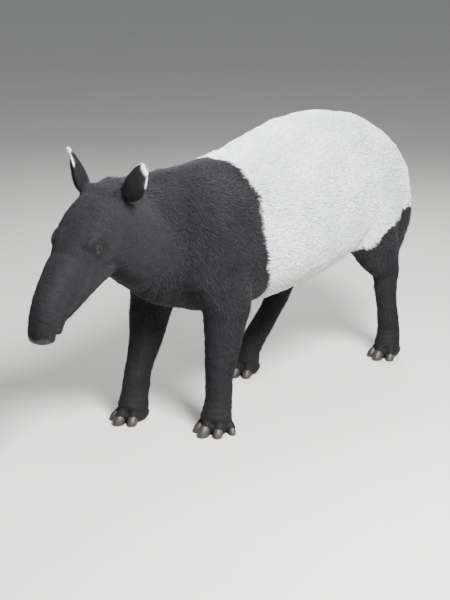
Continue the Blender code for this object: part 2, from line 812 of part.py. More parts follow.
def colour_parts(parts):
    for obj in parts.objects:
        if obj.name in ("torso", "tail"):
            colour, roughness = SADDLE_WHITE, 0.8
        elif obj.name.startswith("eye"):
            colour, roughness = EYE_BROWN, 0.1
        elif obj.name.startswith("hoof"):
            colour, roughness = HORN_GREY, 0.4
        else:
            colour, roughness = COAT_BLACK, 0.8
        obj.data.materials.clear()
        obj.data.materials.append(new_material(obj.name, colour, roughness))
        obj.data.shade_smooth()
        obj.data.set_sharp_from_angle(angle=math.radians(50))


def main():
    clear_scene()
    parts = new_collection("malayan_tapir")
    tools = new_collection("tools", hidden=True)
    masses = new_collection("masses", hidden=True)
    head_part = new_collection("head_masses", hidden=True)

    trunk_mass(masses)
    neck_mass(masses)
    for side, front, hind in ((1, "front_left", "hind_left"), (-1, "front_right", "hind_right")):
        front_leg_masses(side, front, masses)
        hind_leg_masses(side, hind, masses)
    head_masses(head_part)

    body_sources = [*masses.objects, *head_part.objects]
    body = fused_skin("torso", body_sources, BODY_VOXEL, 12, BODY_TRIANGLES, parts)
    face_sources = [masses.objects["neck_mass"], *head_part.objects]
    head = fused_skin("head", face_sources, HEAD_VOXEL, 4, HEAD_TRIANGLES, parts)

    # Head from neck, behind the ears and the angle of the jaw
    drop = half_space("drop", HEAD_JOINT, -HEAD_JOINT_WAY, tools, behind=-GAP / 2)
    cut(head, drop, "DIFFERENCE")
    keep_largest(head.data)
    bpy.data.objects.remove(drop)
    ahead = split(body, "spare_head", HEAD_JOINT, HEAD_JOINT_WAY, tools)
    bpy.data.objects.remove(ahead)
    keep_largest(body.data)

    # Neck from torso, from the withers down and forward to the breast
    split(body, "neck", NECK_JOINT, NECK_JOINT_WAY, tools)

    for side in (1, -1):
        build_ear(side, head, parts, tools)
    for side in (1, -1):
        build_eye(side, head, parts, tools)
        pit = nostril_pit(side, tools)
        cut(head, pit, "DIFFERENCE")
        bpy.data.objects.remove(pit)
        groove = mouth_groove(side, tools)
        cut(head, groove, "DIFFERENCE")
        bpy.data.objects.remove(groove)
    keep_largest(head.data)
    build_tail(body, parts, tools)

    ground = half_space("ground", (0, 0, 0), (0, 0, -1), tools)
    for foot in FEET:
        side = 1 if foot.endswith("left") else -1
        hind = foot.startswith("hind")
        leg = copy_of(body, f"leg_{foot}", parts)
        inside = leg_region("inside", side, hind, 0.0, tools)
        outside = leg_region("outside", side, hind, GAP, tools)
        cut(leg, inside, "INTERSECT")
        cut(body, outside, "DIFFERENCE")
        bpy.data.objects.remove(inside)
        bpy.data.objects.remove(outside)

        toes = new_collection(f"toes_{foot}", hidden=True)
        foot_masses(foot, toes)
        sources = [masses.objects[f"limb_{foot}"], *toes.objects]
        flesh = fused_skin(f"foot_{foot}", sources, FOOT_VOXEL, 2, FOOT_TRIANGLES, parts)
        above = half_space("above", (0, 0, FOOT_CUT), (0, 0, 1), tools, behind=-GAP / 2)
        cut(flesh, above, "DIFFERENCE")
        cut(flesh, ground, "DIFFERENCE")
        below = half_space("below", (0, 0, FOOT_CUT), (0, 0, -1), tools, behind=-GAP / 2)
        cut(leg, below, "DIFFERENCE")
        bpy.data.objects.remove(above)
        bpy.data.objects.remove(below)
        build_hooves(foot, flesh, parts, tools)
    bpy.data.objects.remove(ground)
    keep_largest(body.data)

    for group in (masses, head_part):
        for obj in list(group.objects):
            bpy.data.objects.remove(obj)
    for obj in list(bpy.data.objects):
        if obj.users_collection[0].name.startswith("toes_"):
            bpy.data.objects.remove(obj)
    centre_on_origin(parts)
    colour_parts(parts)


main()
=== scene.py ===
# Malayan tapir in mid-stride: one skin with folds and lids, its short coat, the eyes and the hooves
import json
import math

import bmesh
import bpy
import numpy as np
from mathutils import Matrix, Vector
from mathutils.kdtree import KDTree

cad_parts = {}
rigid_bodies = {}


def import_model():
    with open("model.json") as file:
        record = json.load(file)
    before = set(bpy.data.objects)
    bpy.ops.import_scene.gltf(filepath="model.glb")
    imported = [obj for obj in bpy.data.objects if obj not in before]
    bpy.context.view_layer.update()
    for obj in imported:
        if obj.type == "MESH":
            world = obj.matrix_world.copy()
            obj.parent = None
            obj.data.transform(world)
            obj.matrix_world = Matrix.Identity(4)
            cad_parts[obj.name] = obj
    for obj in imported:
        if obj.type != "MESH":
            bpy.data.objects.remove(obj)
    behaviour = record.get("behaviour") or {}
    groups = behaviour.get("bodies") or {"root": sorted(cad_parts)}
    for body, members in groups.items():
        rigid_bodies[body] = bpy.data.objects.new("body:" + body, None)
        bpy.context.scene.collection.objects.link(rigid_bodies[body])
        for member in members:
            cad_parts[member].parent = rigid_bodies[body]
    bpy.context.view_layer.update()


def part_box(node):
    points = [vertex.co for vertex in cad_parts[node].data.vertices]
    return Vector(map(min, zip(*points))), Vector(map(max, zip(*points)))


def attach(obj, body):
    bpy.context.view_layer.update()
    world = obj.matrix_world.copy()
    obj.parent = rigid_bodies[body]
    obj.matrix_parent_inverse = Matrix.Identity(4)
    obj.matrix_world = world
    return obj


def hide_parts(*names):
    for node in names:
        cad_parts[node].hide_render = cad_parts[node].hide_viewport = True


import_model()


# Colour, node and mesh helpers
def linear(hexCode):  # sRGB hex to linear RGBA
    made = []
    for i in (0, 2, 4):
        c = int(hexCode[i : i + 2], 16) / 255
        made.append(c / 12.92 if c <= 0.04045 else ((c + 0.055) / 1.055) ** 2.4)
    return (*made, 1.0)


def addNode(tree, kind, settings=None, inputs=None, out=0):
    # settings are the node's own; each input takes a value, a hex colour or another node's output
    node = tree.nodes.new(kind if "Node" in kind else "ShaderNode" + kind)
    for name, value in (settings or {}).items():
        setattr(node, name, value)
    for name, value in (inputs or {}).items():
        socket = node.inputs[name]
        if isinstance(value, bpy.types.NodeSocket):
            tree.links.new(value, socket)
        else:
            socket.default_value = linear(value) if socket.type == "RGBA" else value
    return node.outputs[out] if node.outputs else node


def smoothstep(low, high, value):
    t = np.clip((value - low) / (high - low), 0, 1)
    return t * t * (3 - 2 * t)


def waves(points, size, seed):  # soft random relief between about -1 and 1, in waves of that size
    count = 14
    rng = np.random.default_rng(seed)
    ways = rng.normal(size=(count, 3))
    ways /= np.linalg.norm(ways, axis=1)[:, None]
    turns = points @ (ways * (2 * math.pi / size * rng.uniform(0.7, 1.6, count)[:, None])).T
    return np.sin(turns + rng.uniform(0, 2 * math.pi, count)).sum(1) / math.sqrt(count)


def readPoints(mesh):
    flat = np.empty(len(mesh.vertices) * 3, np.float32)
    mesh.vertices.foreach_get("co", flat)
    return flat.reshape(-1, 3).astype(float)


def writePoints(mesh, points):
    mesh.vertices.foreach_set("co", np.ascontiguousarray(points, np.float32).ravel())
    mesh.update()


def readNormals(mesh):
    flat = np.empty(len(mesh.vertices) * 3, np.float32)
    mesh.vertex_normals.foreach_get("vector", flat)
    return flat.reshape(-1, 3).astype(float)


def storeValues(mesh, name, values, kind="FLOAT"):
    layer = mesh.attributes.new(name, kind, "POINT")
    field = "value" if kind == "FLOAT" else "vector"
    layer.data.foreach_set(field, np.ascontiguousarray(values, np.float32).ravel())


def distanceTo(place, points):
    return np.linalg.norm(points - np.array(place), axis=1)


def makeCollection(name):
    collection = bpy.data.collections.new(name)
    bpy.context.scene.collection.children.link(collection)
    return collection


workshop = makeCollection("workshop")
tapir = makeCollection("tapir")


def meshPiece(name, points, faces, collection=workshop):
    mesh = bpy.data.meshes.new(name)
    mesh.from_pydata([tuple(p) for p in points], [], [tuple(f) for f in faces])
    piece = bpy.data.objects.new(name, mesh)
    collection.objects.link(piece)
    return piece


def faceOut(mesh):
    bm = bmesh.new()
    bm.from_mesh(mesh)
    bmesh.ops.recalc_face_normals(bm, faces=bm.faces)
    bm.to_mesh(mesh)
    bm.free()


def finalMesh(piece):  # with its modifiers applied
    graph = bpy.context.evaluated_depsgraph_get()
    return bpy.data.meshes.new_from_object(piece.evaluated_get(graph))


def evaluated(piece, name, collection=workshop):
    mesh = finalMesh(piece)
    mesh.name = name
    made = bpy.data.objects.new(name, mesh)
    collection.objects.link(made)
    return made


def boolean(piece, cutter, operation):
    modifier = piece.modifiers.new("Boolean", "BOOLEAN")
    modifier.operation = operation
    modifier.solver = "MANIFOLD"
    modifier.object = cutter
    mesh = finalMesh(piece)
    piece.modifiers.remove(modifier)
    if len(mesh.polygons) > 100:
        piece.data = mesh
    else:
        print("boolean left out:", cutter.name)
    bpy.data.objects.remove(cutter)


def refined(stations, steps=5):  # Catmull-Rom curve through every column
    rows = np.array(stations, float)
    padded = np.vstack([2 * rows[0] - rows[1], rows, 2 * rows[-1] - rows[-2]])
    made = []
    for i in range(1, len(padded) - 2):
        a, b, c, d = padded[i - 1 : i + 3]
        for t in np.arange(steps) / steps:
            curve = 2 * b + (c - a) * t + (2 * a - 5 * b + 4 * c - d) * t**2 + (3 * b - a - 3 * c + d) * t**3
            made.append(0.5 * curve)
    return np.array(made + [rows[-1]])


ringPoints = 36


def oval(centre, side, up, halfWidth, above, below, squareness):
    angle = np.linspace(0, 2 * math.pi, ringPoints, endpoint=False)
    across = np.sign(np.cos(angle)) * np.abs(np.cos(angle)) ** (2 / squareness)
    upward = np.sign(np.sin(angle)) * np.abs(np.sin(angle)) ** (2 / squareness)
    upward = upward * np.where(upward > 0, above, below)
    return np.array(centre) + np.outer(across * halfWidth, side) + np.outer(upward, up)


def uprightOval(x, y, height, halfWidth, above, below, squareness):
    return oval((x, y, height), (1, 0, 0), (0, 0, 1), halfWidth, above, below, squareness)


def loft(name, rings, rounding):  # skin over the rings, with domed ends
    rings = list(rings)
    for end, inner in ((0, 1), (-1, -2)):
        middle = rings[end].mean(axis=0)
        outward = middle - rings[inner].mean(axis=0)
        outward /= np.linalg.norm(outward)
        reach = rounding * np.abs(rings[end] - middle).max()
        domes = []
        for turn in np.radians((30, 55, 75)):
            domes.append(middle + outward * reach * math.sin(turn) + (rings[end] - middle) * math.cos(turn))
        if end == 0:
            firstTip, rings = middle + outward * reach, domes[::-1] + rings
        else:
            lastTip, rings = middle + outward * reach, rings + domes
    count = len(rings[0])
    points = np.vstack([*rings, firstTip, lastTip])
    faces = []
    for i in range(len(rings) - 1):
        for j in range(count):
            k = (j + 1) % count
            faces.append((i * count + j, i * count + k, (i + 1) * count + k, (i + 1) * count + j))
    last = (len(rings) - 1) * count
    faces += [(len(points) - 2, (j + 1) % count, j) for j in range(count)]
    faces += [(len(points) - 1, last + j, last + (j + 1) % count) for j in range(count)]
    piece = meshPiece(name, points, faces)
    faceOut(piece.data)
    return piece


def ellipsoid(name, centre, axes, radii, segments=32, collection=workshop):
    bm = bmesh.new()
    bmesh.ops.create_uvsphere(bm, u_segments=segments, v_segments=segments // 2 + 2, radius=1.0)
    mesh = bpy.data.meshes.new(name)
    bm.to_mesh(mesh)
    bm.free()
    turn = Matrix([Vector(a) for a in axes]).transposed()
    mesh.transform(Matrix.Translation(Vector(centre)) @ (turn @ Matrix.Diagonal(radii)).to_4x4())
    if turn.determinant() < 0:
        mesh.flip_normals()
    piece = bpy.data.objects.new(name, mesh)
    collection.objects.link(piece)
    return piece


def limb(name, stations, squareness=2.1, rounding=0.45):  # x, y, z, half depth, half width
    rows = refined(stations)
    along = np.gradient(rows[:, :3], axis=0)
    rings = []
    for centre, way, (depth, width) in zip(rows[:, :3], along, rows[:, 3:5]):
        way = Vector(way).normalized()
        side = (Vector((1, 0, 0)) - way * way.x).normalized()
        rings.append(oval(centre, side, way.cross(side), width, depth, depth, squareness))
    return loft(name, rings, rounding)


# Trunk and neck
body = {
    "withersHeight": 0.93,
    "rumpHeight": 1.03,
    "barrelHalfWidth": 0.268,
    "widestShare": 0.47,
    # y, back line as a share of the rise to the rump, underside, share of the width
    "trunk": (
        (-0.620, -0.95, 0.530, 0.50),
        (-0.540, -0.35, 0.455, 0.66),
        (-0.430, -0.05, 0.405, 0.79),
        (-0.280, 0.05, 0.388, 0.89),
        (-0.100, 0.34, 0.386, 0.97),
        (0.070, 0.76, 0.392, 1.00),
        (0.230, 1.00, 0.420, 0.99),
        (0.380, 0.95, 0.465, 0.94),
        (0.530, 0.56, 0.518, 0.87),
        (0.668, -0.36, 0.565, 0.73),
        (0.760, -1.42, 0.635, 0.47),
    ),
    # x, y, crest, throat, half width
    "neck": (
        (0.000, -0.400, 0.928, 0.425, 0.180),
        (0.000, -0.520, 0.926, 0.435, 0.168),
        (0.000, -0.630, 0.926, 0.478, 0.150),
        (0.001, -0.720, 0.926, 0.534, 0.132),
        (0.003, -0.800, 0.924, 0.592, 0.118),
        (0.006, -0.872, 0.908, 0.645, 0.105),
    ),
    "tail": (
        (0.0, 0.706, 0.850, 0.036, 0.040),
        (0.0, 0.762, 0.818, 0.029, 0.032),
        (0.0, 0.794, 0.776, 0.024, 0.027),
        (0.0, 0.803, 0.730, 0.017, 0.019),
    ),
    "voxel": 0.010,
    "smoothing": 12,
}


def buildTrunk():
    rings = []
    rise = body["rumpHeight"] - body["withersHeight"]
    for y, back, belly, width in refined(body["trunk"]):
        top = body["withersHeight"] + back * rise
        widest = belly + body["widestShare"] * (top - belly)
        halfWidth = width * body["barrelHalfWidth"]
        rings.append(uprightOval(0, y, widest, halfWidth, top - widest, widest - belly, 2.15))
    return loft("trunkMass", rings, 0.35)


def buildNeck():
    rings = []
    for x, y, crest, throat, halfWidth in refined(body["neck"]):
        widest = throat + 0.45 * (crest - throat)
        rings.append(uprightOval(x, y, widest, halfWidth, crest - widest, widest - throat, 2.0))
    return loft("neckMass", rings, 0.2)


# Legs and feet
legs = {
    "feet": {  # middle of each foot
        "front_left": (0.150, -0.480),
        "front_right": (-0.150, -0.590),
        "hind_left": (0.160, 0.598),
        "hind_right": (-0.152, 0.060),
    },
    # out from the middle of the foot, forward of it, turn outwards in degrees, size
    "toes": ((-0.036, 0.026, -17, 0.92), (0.002, 0.046, 2, 1.08), (0.041, 0.024, 21, 0.92)),
    "smallToe": (0.058, -0.022, 52, 0.70),  # on the outer side of the forefeet
    "toeRadii": (0.042, 0.0205, 0.030),
    "toeTilt": math.radians(28),
    "padRadii": (0.060, 0.054, 0.032),
    "hoofRadii": (0.034, 0.0195, 0.0215),
    "hoofTilt": math.radians(52),
    "growthLines": 0.002732,  # from one line in the horn to the next
    "voxel": 0.0042,
    "smoothing": 2,
}


def frontLeg(side, foot):
    x, y = legs["feet"][foot]
    reach = y + 0.48  # how far the foot is set from where it stands under the shoulder
    shoulder = (
        (side * 0.070, -0.285, 0.815, 0.100, 0.040),
        (side * 0.112, -0.370, 0.745, 0.145, 0.068),
        (side * 0.136, -0.465, 0.640, 0.140, 0.080),
        (side * 0.150, -0.475, 0.560, 0.128, 0.076),
    )
    stations = (
        (side * 0.158, -0.455 + 0.10 * reach, 0.560, 0.118, 0.078),
        (side * 0.159, -0.428 + 0.22 * reach, 0.460, 0.104, 0.073),
        (side * 0.156, -0.435 + 0.42 * reach, 0.370, 0.084, 0.066),
        (side * 0.152, -0.445 + 0.62 * reach, 0.270, 0.066, 0.058),
        (x, y + 0.022 - 0.12 * reach, 0.180, 0.052, 0.048),
        (x, y + 0.018 - 0.02 * reach, 0.105, 0.053, 0.049),
        (x, y + 0.006, 0.050, 0.059, 0.055),
    )
    return [limb("shoulder", shoulder), limb("limb", stations)], stations


def hindLeg(side, foot):
    x, y = legs["feet"][foot]
    stride = (0.42 - y) / 0.36  # share of a long step
    stifle = 0.345 - 0.150 * stride
    hock = 0.488 - 0.172 * stride
    thigh = (
        (side * 0.105, 0.420, 0.860, 0.155, 0.085),
        (side * 0.135, 0.425, 0.750, 0.190, 0.105),
        (side * 0.155, stifle + 0.060 + 0.03 * stride, 0.630, 0.168, 0.096),
        (side * 0.162, stifle + 0.055 + 0.02 * stride, 0.530, 0.120, 0.078),
    )
    stations = (
        (side * 0.160, stifle + 0.050 + 0.02 * stride, 0.560, 0.140, 0.088),
        (side * 0.161, 0.5 * (stifle + hock) + 0.020, 0.460, 0.102, 0.070),
        (side * 0.159, hock + 0.003, 0.375, 0.070, 0.054),
        (side * 0.157, hock - 0.001 - 0.02 * stride, 0.310, 0.060, 0.047),
        (0.5 * (x + side * 0.156), 0.5 * (hock + y + 0.03), 0.205, 0.050, 0.043),
        (x, y + 0.022 + 0.015 * stride, 0.110, 0.050, 0.045),
        (x, y + 0.006, 0.050, 0.057, 0.051),
    )
    buttock = (
        (side * 0.072, 0.606, 0.830, 0.076, 0.064),
        (side * 0.114, 0.632 - 0.02 * stride, 0.710, 0.090, 0.078),
        (side * 0.143, 0.600 - 0.07 * stride, 0.590, 0.092, 0.070),
        (side * 0.156, hock + 0.016, 0.440, 0.052, 0.042),
    )
    heel = (
        (side * 0.157, hock + 0.042, 0.430, 0.022, 0.019),
        (side * 0.157, hock + 0.057, 0.374, 0.024, 0.021),
        (side * 0.156, hock + 0.034, 0.320, 0.022, 0.019),
    )
    masses = {"thigh": thigh, "limb": stations, "buttock": buttock, "heel": heel}
    return [limb(name, rows) for name, rows in masses.items()], stations


def sideOf(foot):
    return 1 if foot.endswith("left") else -1


def toesOf(foot):  # place, heading and size of each toe
    x, y = legs["feet"][foot]
    toes = [*legs["toes"], legs["smallToe"]] if foot.startswith("front") else legs["toes"]
    made = []
    for out, ahead, turn, size in toes:
        heading = math.radians(turn) * sideOf(foot)
        way = Vector((math.sin(heading), -math.cos(heading), 0))
        made.append((Vector((x + sideOf(foot) * out, y - ahead, 0.0)), way, size))
    return made


def toeAxes(way, tilt):
    side = way.cross(Vector((0, 0, 1))).normalized()
    fore = (way * math.cos(tilt) - Vector((0, 0, math.sin(tilt)))).normalized()
    return fore, side, side.cross(fore)


def buildToes(foot):
    x, y = legs["feet"][foot]
    made = []
    for place, way, size in toesOf(foot):
        centre = place - way * 0.010 + Vector((0, 0, 0.026 * size))
        radii = [r * size for r in legs["toeRadii"]]
        made.append(ellipsoid("toe", centre, toeAxes(way, legs["toeTilt"]), radii))
    upright = ((0, -1, 0), (1, 0, 0), (0, 0, 1))
    made.append(ellipsoid("pad", (x, y + 0.010, 0.024), upright, legs["padRadii"]))
    return made


# Head
head = {
    "poll": Vector((0.006, -0.864, 0.916)),
    "pitch": math.radians(32),
    "yaw": math.radians(8),
    # forward of the poll, top, underside, half width
    "skull": (
        (-0.060, -0.012, -0.190, 0.082),
        (0.000, 0.002, -0.198, 0.096),
        (0.075, 0.012, -0.196, 0.104),
        (0.145, 0.008, -0.186, 0.101),
        (0.205, -0.007, -0.174, 0.087),
        (0.260, -0.030, -0.166, 0.073),
        (0.310, -0.051, -0.160, 0.063),
        (0.350, -0.070, -0.158, 0.055),
    ),
    # forward, up, half height, half width
    "snout": (
        (0.270, -0.092, 0.060, 0.066),
        (0.335, -0.103, 0.058, 0.059),
        (0.390, -0.116, 0.053, 0.053),
        (0.438, -0.137, 0.047, 0.048),
        (0.474, -0.163, 0.041, 0.045),
        (0.494, -0.190, 0.036, 0.043),
    ),
    "jaw": (
        (0.030, -0.100, -0.228, 0.070),
        (0.085, -0.110, -0.245, 0.073),
        (0.165, -0.125, -0.240, 0.063),
        (0.255, -0.140, -0.226, 0.053),
        (0.330, -0.152, -0.216, 0.046),
        (0.385, -0.163, -0.211, 0.038),
        (0.412, -0.173, -0.206, 0.028),
    ),
    # forward, up, out, then radii the same way: masseter, cheekbone, brow, ear base, lip pad
    "swellings": (
        (0.070, -0.150, 0.068, 0.082, 0.078, 0.036),
        (0.118, -0.090, 0.084, 0.074, 0.026, 0.020),
        (0.188, -0.046, 0.066, 0.044, 0.024, 0.020),
        (0.002, -0.034, 0.062, 0.038, 0.036, 0.028),
        (0.305, -0.128, 0.043, 0.060, 0.036, 0.024),
    ),
    # forward, up, where the groove starts, then how far out the upper and lower lip run
    "mouth": (
        (0.490, -0.238, -0.002, 0.030, 0.008),
        (0.450, -0.204, -0.002, 0.036, 0.012),
        (0.408, -0.181, -0.002, 0.039, 0.025),
        (0.385, -0.173, 0.022, 0.042, 0.032),
        (0.355, -0.167, 0.038, 0.046, 0.040),
        (0.312, -0.161, 0.050, 0.052, 0.049),
    ),
    "mouthGap": 0.0020,
    "voxel": 0.0038,
    "smoothing": 4,
}

eye = {
    "place": (0.200, -0.070, 0.0730),
    "look": (0.30, 0.12, 0.94),
    "radius": 0.016,
    "lidRadius": 0.0200,
    "opening": (0.0138, 0.0084),
    # where the pupil and the iris fade out, from the middle of the gaze
    "pupilEdge": (0.0034, 0.0040),
    "irisEdge": (0.0086, 0.0096),
}

ear = {
    "place": (-0.004, -0.034, 0.076),
    # for the left ear, turned out and back, and the right one
    "axes": {1: (-0.26, 0.65, 0.71), -1: (-0.22, 0.92, 0.32)},
    "facings": {1: (-0.71, -0.60, 0.29), -1: (0.72, 0.22, 0.66)},
    "length": 0.148,
    "halfWidth": 0.042,
    "thickness": 0.0040,
    "rows": 44,
    "columns": 30,
}

nostril = {"place": (0.514, -0.187, 0.020), "radii": (0.014, 0.0115, 0.0060)}


def headAxes():
    ahead = Vector((math.sin(head["yaw"]), -math.cos(head["yaw"]), 0))
    lift = Vector((0, 0, 1))
    forward = ahead * math.cos(head["pitch"]) - lift * math.sin(head["pitch"])
    up = ahead * math.sin(head["pitch"]) + lift * math.cos(head["pitch"])
    return forward, up, Vector((math.cos(head["yaw"]), math.sin(head["yaw"]), 0))


def onHead(forward, up, left=0.0):
    axes = headAxes()
    return head["poll"] + axes[0] * forward + axes[1] * up + axes[2] * left


def headWay(forward, up, left):
    axes = headAxes()
    return (axes[0] * forward + axes[1] * up + axes[2] * left).normalized()


def eyeSpot(side):
    s, u, o = eye["place"]
    return onHead(s, u, side * o)


def eyeAxes(side):  # along the opening, up across it, and the way the eye looks
    forward, up, left = headAxes()
    ahead, lift, out = eye["look"]
    look = headWay(ahead, lift, side * out)
    along = (forward - look * forward.dot(look)).normalized()
    rise = look.cross(along)
    return along, -rise if rise.dot(up) < 0 else rise, look


def buildHead():
    forward, up, left = headAxes()
    made = []
    rings = []
    for along, top, bottom, halfWidth in refined(head["skull"]):
        widest = bottom + 0.52 * (top - bottom)
        rings.append(oval(onHead(along, widest), left, up, halfWidth, top - widest, widest - bottom, 2.15))
    made.append(loft("skull", rings, 0.3))
    rings = []
    for along, top, bottom, halfWidth in refined(head["jaw"]):
        middle = 0.5 * (top + bottom)
        rings.append(oval(onHead(along, middle), left, up, halfWidth, top - middle, middle - bottom, 2.1))
    made.append(loft("jaw", rings, 0.45))
    rows = refined(head["snout"])
    rings = []
    for (along, height, halfHeight, halfWidth), (ds, du) in zip(rows, np.gradient(rows[:, :2], axis=0)):
        across = headWay(ds, du, 0).cross(left)
        across = -across if across.dot(up) < 0 else across
        rings.append(oval(onHead(along, height), left, across, halfWidth, halfHeight, halfHeight, 2.3))
    made.append(loft("snout", rings, 0.35))
    for side in (1, -1):
        for along, height, out, *radii in head["swellings"]:
            centre = onHead(along, height, side * out)
            made.append(ellipsoid("swelling", centre, (forward, up, left), radii))
        upper = [(*onHead(s, u + 0.009, side * o), 0.0095, 0.0095) for s, u, g, o, p in head["mouth"][1:]]
        lower = [onHead(s - 0.010, u - 0.009, side * p) for s, u, g, o, p in head["mouth"][2:]]
        made.append(limb("upperLip", upper, 2.0, 0.9))
        made.append(limb("lowerLip", [(*place, 0.0088, 0.0088) for place in lower], 2.0, 0.9))
        made.append(ellipsoid("lid", eyeSpot(side), (forward, up, left), (eye["lidRadius"],) * 3))
    return made


def earFrame(side):
    forward, up, out = ear["axes"][side]
    axis = headWay(forward, up, side * out)
    forward, up, out = ear["facings"][side]
    facing = headWay(forward, up, side * out)
    facing = (facing - axis * facing.dot(axis)).normalized()
    s, u, o = ear["place"]
    return onHead(s, u, side * o), axis, facing, axis.cross(facing)


def earPoint(side, v, turnShare):
    root, axis, facing, across = earFrame(side)
    height = ear["length"] * (0.04 + 0.96 * math.sin(v * math.pi / 2) ** 1.15)
    share = height / ear["length"]
    if share > 0.55:
        width = math.sqrt(max(0.0, 1 - ((share - 0.55) / 0.46) ** 2))
    else:
        width = 0.56 + 0.44 * math.sin(math.pi / 2 * share / 0.55)
    halfWidth = ear["halfWidth"] * width
    openAngle = math.radians(128 - 80 * min(1.0, share * 1.15))
    radius = halfWidth / (math.sin(openAngle) if openAngle < math.pi / 2 else 1.0)
    back = 0.016 + 0.010 * math.sin(math.pi * share)
    turn = openAngle * turnShare
    return (
        root
        + axis * height
        - facing * back
        + facing * radius * (1 - math.cos(turn))
        + across * radius * math.sin(turn)
    )


def buildEar(side):
    rows, columns = ear["rows"], ear["columns"]
    points = []
    for i in range(rows):
        for j in range(columns):
            points.append(earPoint(side, i / (rows - 1), 2 * j / (columns - 1) - 1))
    faces = []
    for i in range(rows - 1):
        for j in range(columns - 1):
            a = i * columns + j
            faces.append((a, a + 1, a + columns + 1, a + columns))
    sheet = meshPiece("earSheet", points, faces)
    wall = sheet.modifiers.new("Solidify", "SOLIDIFY")
    wall.thickness = ear["thickness"]
    wall.offset = 0.0
    shell = evaluated(sheet, "earShell")
    bpy.data.objects.remove(sheet)
    faceOut(shell.data)
    root, axis, facing, across = earFrame(side)
    bulb = ellipsoid("earBulb", root - axis * 0.001, (axis, facing, across), (0.022, 0.024, 0.024), 28)
    boolean(bulb, shell, "UNION")
    return bulb


def eyeOpening(side):
    along, rise, look = eyeAxes(side)
    halfLength, halfHeight = eye["opening"]
    rings = []
    for depth in (0.004, 0.040):
        ring = []
        for angle in np.linspace(0, 2 * math.pi, ringPoints, endpoint=False):
            lift = halfHeight * math.sin(angle) * abs(math.sin(angle)) ** 0.3
            ring.append(eyeSpot(side) + look * depth + along * halfLength * math.cos(angle) + rise * lift)
        rings.append(np.array(ring))
    count = len(rings[0])
    faces = [(j, (j + 1) % count, count + (j + 1) % count, count + j) for j in range(count)]
    faces += [tuple(range(count)), tuple(range(count, 2 * count))]
    piece = meshPiece("eyeOpening", np.vstack(rings), faces)
    faceOut(piece.data)
    return piece


def mouthGroove(side):
    left = headAxes()[2]
    rings = []
    for s, u, inner, *lips in refined(head["mouth"]):
        ring = []
        for out, lift in ((inner, 1), (inner, -1), (0.09, -1), (0.09, 1)):
            ring.append(onHead(s, u + lift * head["mouthGap"] / 2) + left * side * out)
        rings.append(np.array(ring))
    faces = []
    for i in range(len(rings) - 1):
        for j in range(4):
            k = (j + 1) % 4
            faces.append((i * 4 + j, i * 4 + k, i * 4 + 4 + k, i * 4 + 4 + j))
    last = 4 * (len(rings) - 1)
    faces += [(0, 1, 2, 3), (last, last + 1, last + 2, last + 3)]
    piece = meshPiece("mouthGroove", np.vstack(rings), faces)
    faceOut(piece.data)
    return piece


def nostrilPit(side):
    way = headWay(0.62, -0.70, side * 0.36)
    across = headWay(0.75, 0.62, -side * 0.10)
    across = (across - way * across.dot(way)).normalized()
    s, u, o = nostril["place"]
    axes = (way, across, way.cross(across))
    return ellipsoid("nostril", onHead(s, u, side * o), axes, nostril["radii"], 28)


def hoofShape(name, place, way, size, swell, collection=workshop):
    centre = place + way * 0.014 * size + Vector((0, 0, 0.012 * size))
    radii = [r * size + swell for r in legs["hoofRadii"]]
    return ellipsoid(name, centre, toeAxes(way, legs["hoofTilt"]), radii, 40, collection)


# One skin over all the masses
skinPlan = {
    "voxel": 0.0031,
    "smoothing": 5,
    "triangles": 162000,
    "keepFactor": 0.0001,
    "bodyInset": 0.0045,  # the coat's depth
    "faceInset": 0.0012,
    "footInset": 0.0008,
    "gap": 0.0004,  # round the eyes and the hooves
}


def joinedMesh(name, pieces):
    bm = bmesh.new()
    for piece in pieces:
        bm.from_mesh(piece.data)
    mesh = bpy.data.meshes.new(name)
    bm.to_mesh(mesh)
    bm.free()
    made = bpy.data.objects.new(name, mesh)
    workshop.objects.link(made)
    return made


def fused(name, pieces, voxel, smoothing):
    lump = joinedMesh(name + "Lump", pieces)
    remesh = lump.modifiers.new("Remesh", "REMESH")
    remesh.mode = "VOXEL"
    remesh.voxel_size = voxel
    smooth = lump.modifiers.new("Smooth", "SMOOTH")
    smooth.factor = 0.5
    smooth.iterations = smoothing
    made = evaluated(lump, name)
    bpy.data.objects.remove(lump)
    return made


def rounded(piece):
    soft = piece.modifiers.new("Subdivision", "SUBSURF")
    soft.levels = 1
    soft.render_levels = 1
    made = evaluated(piece, piece.name + "Round")
    bpy.data.objects.remove(piece)
    return made


def pushedOut(mesh, amounts):  # along each point's normal
    writePoints(mesh, readPoints(mesh) + readNormals(mesh) * amounts[:, None])


def headPlace(points):  # forward, up and left of the poll
    local = points - np.array(head["poll"])
    return [local @ np.array(axis) for axis in headAxes()]


def fuseMasses():
    trunk, neck = buildTrunk(), buildNeck()
    legMasses, limbLines, feet = [], {}, []
    for foot in legs["feet"]:
        buildLeg = frontLeg if foot.startswith("front") else hindLeg
        masses, stations = buildLeg(sideOf(foot), foot)
        legMasses += masses
        limbLines[foot] = stations
        stub = [limb("stub", stations[-3:])] + buildToes(foot)
        feet.append(fused("foot", stub, legs["voxel"], legs["smoothing"]))
    headMasses = buildHead()
    bodyMasses = [trunk, neck, *legMasses, *headMasses]
    bodySkin = rounded(fused("body", bodyMasses, body["voxel"], body["smoothing"]))
    headSkin = fused("head", [neck, *headMasses], head["voxel"], head["smoothing"])
    tailMass = limb("tailMass", body["tail"], 2.1, 0.9)
    tailSkin = fused("tail", [tailMass], legs["voxel"], legs["smoothing"])
    skins = [bodySkin, headSkin, tailSkin, *feet]
    whole = fused("whole", skins, skinPlan["voxel"], skinPlan["smoothing"])
    print("masses fused", len(whole.data.polygons))
    return whole, limbLines


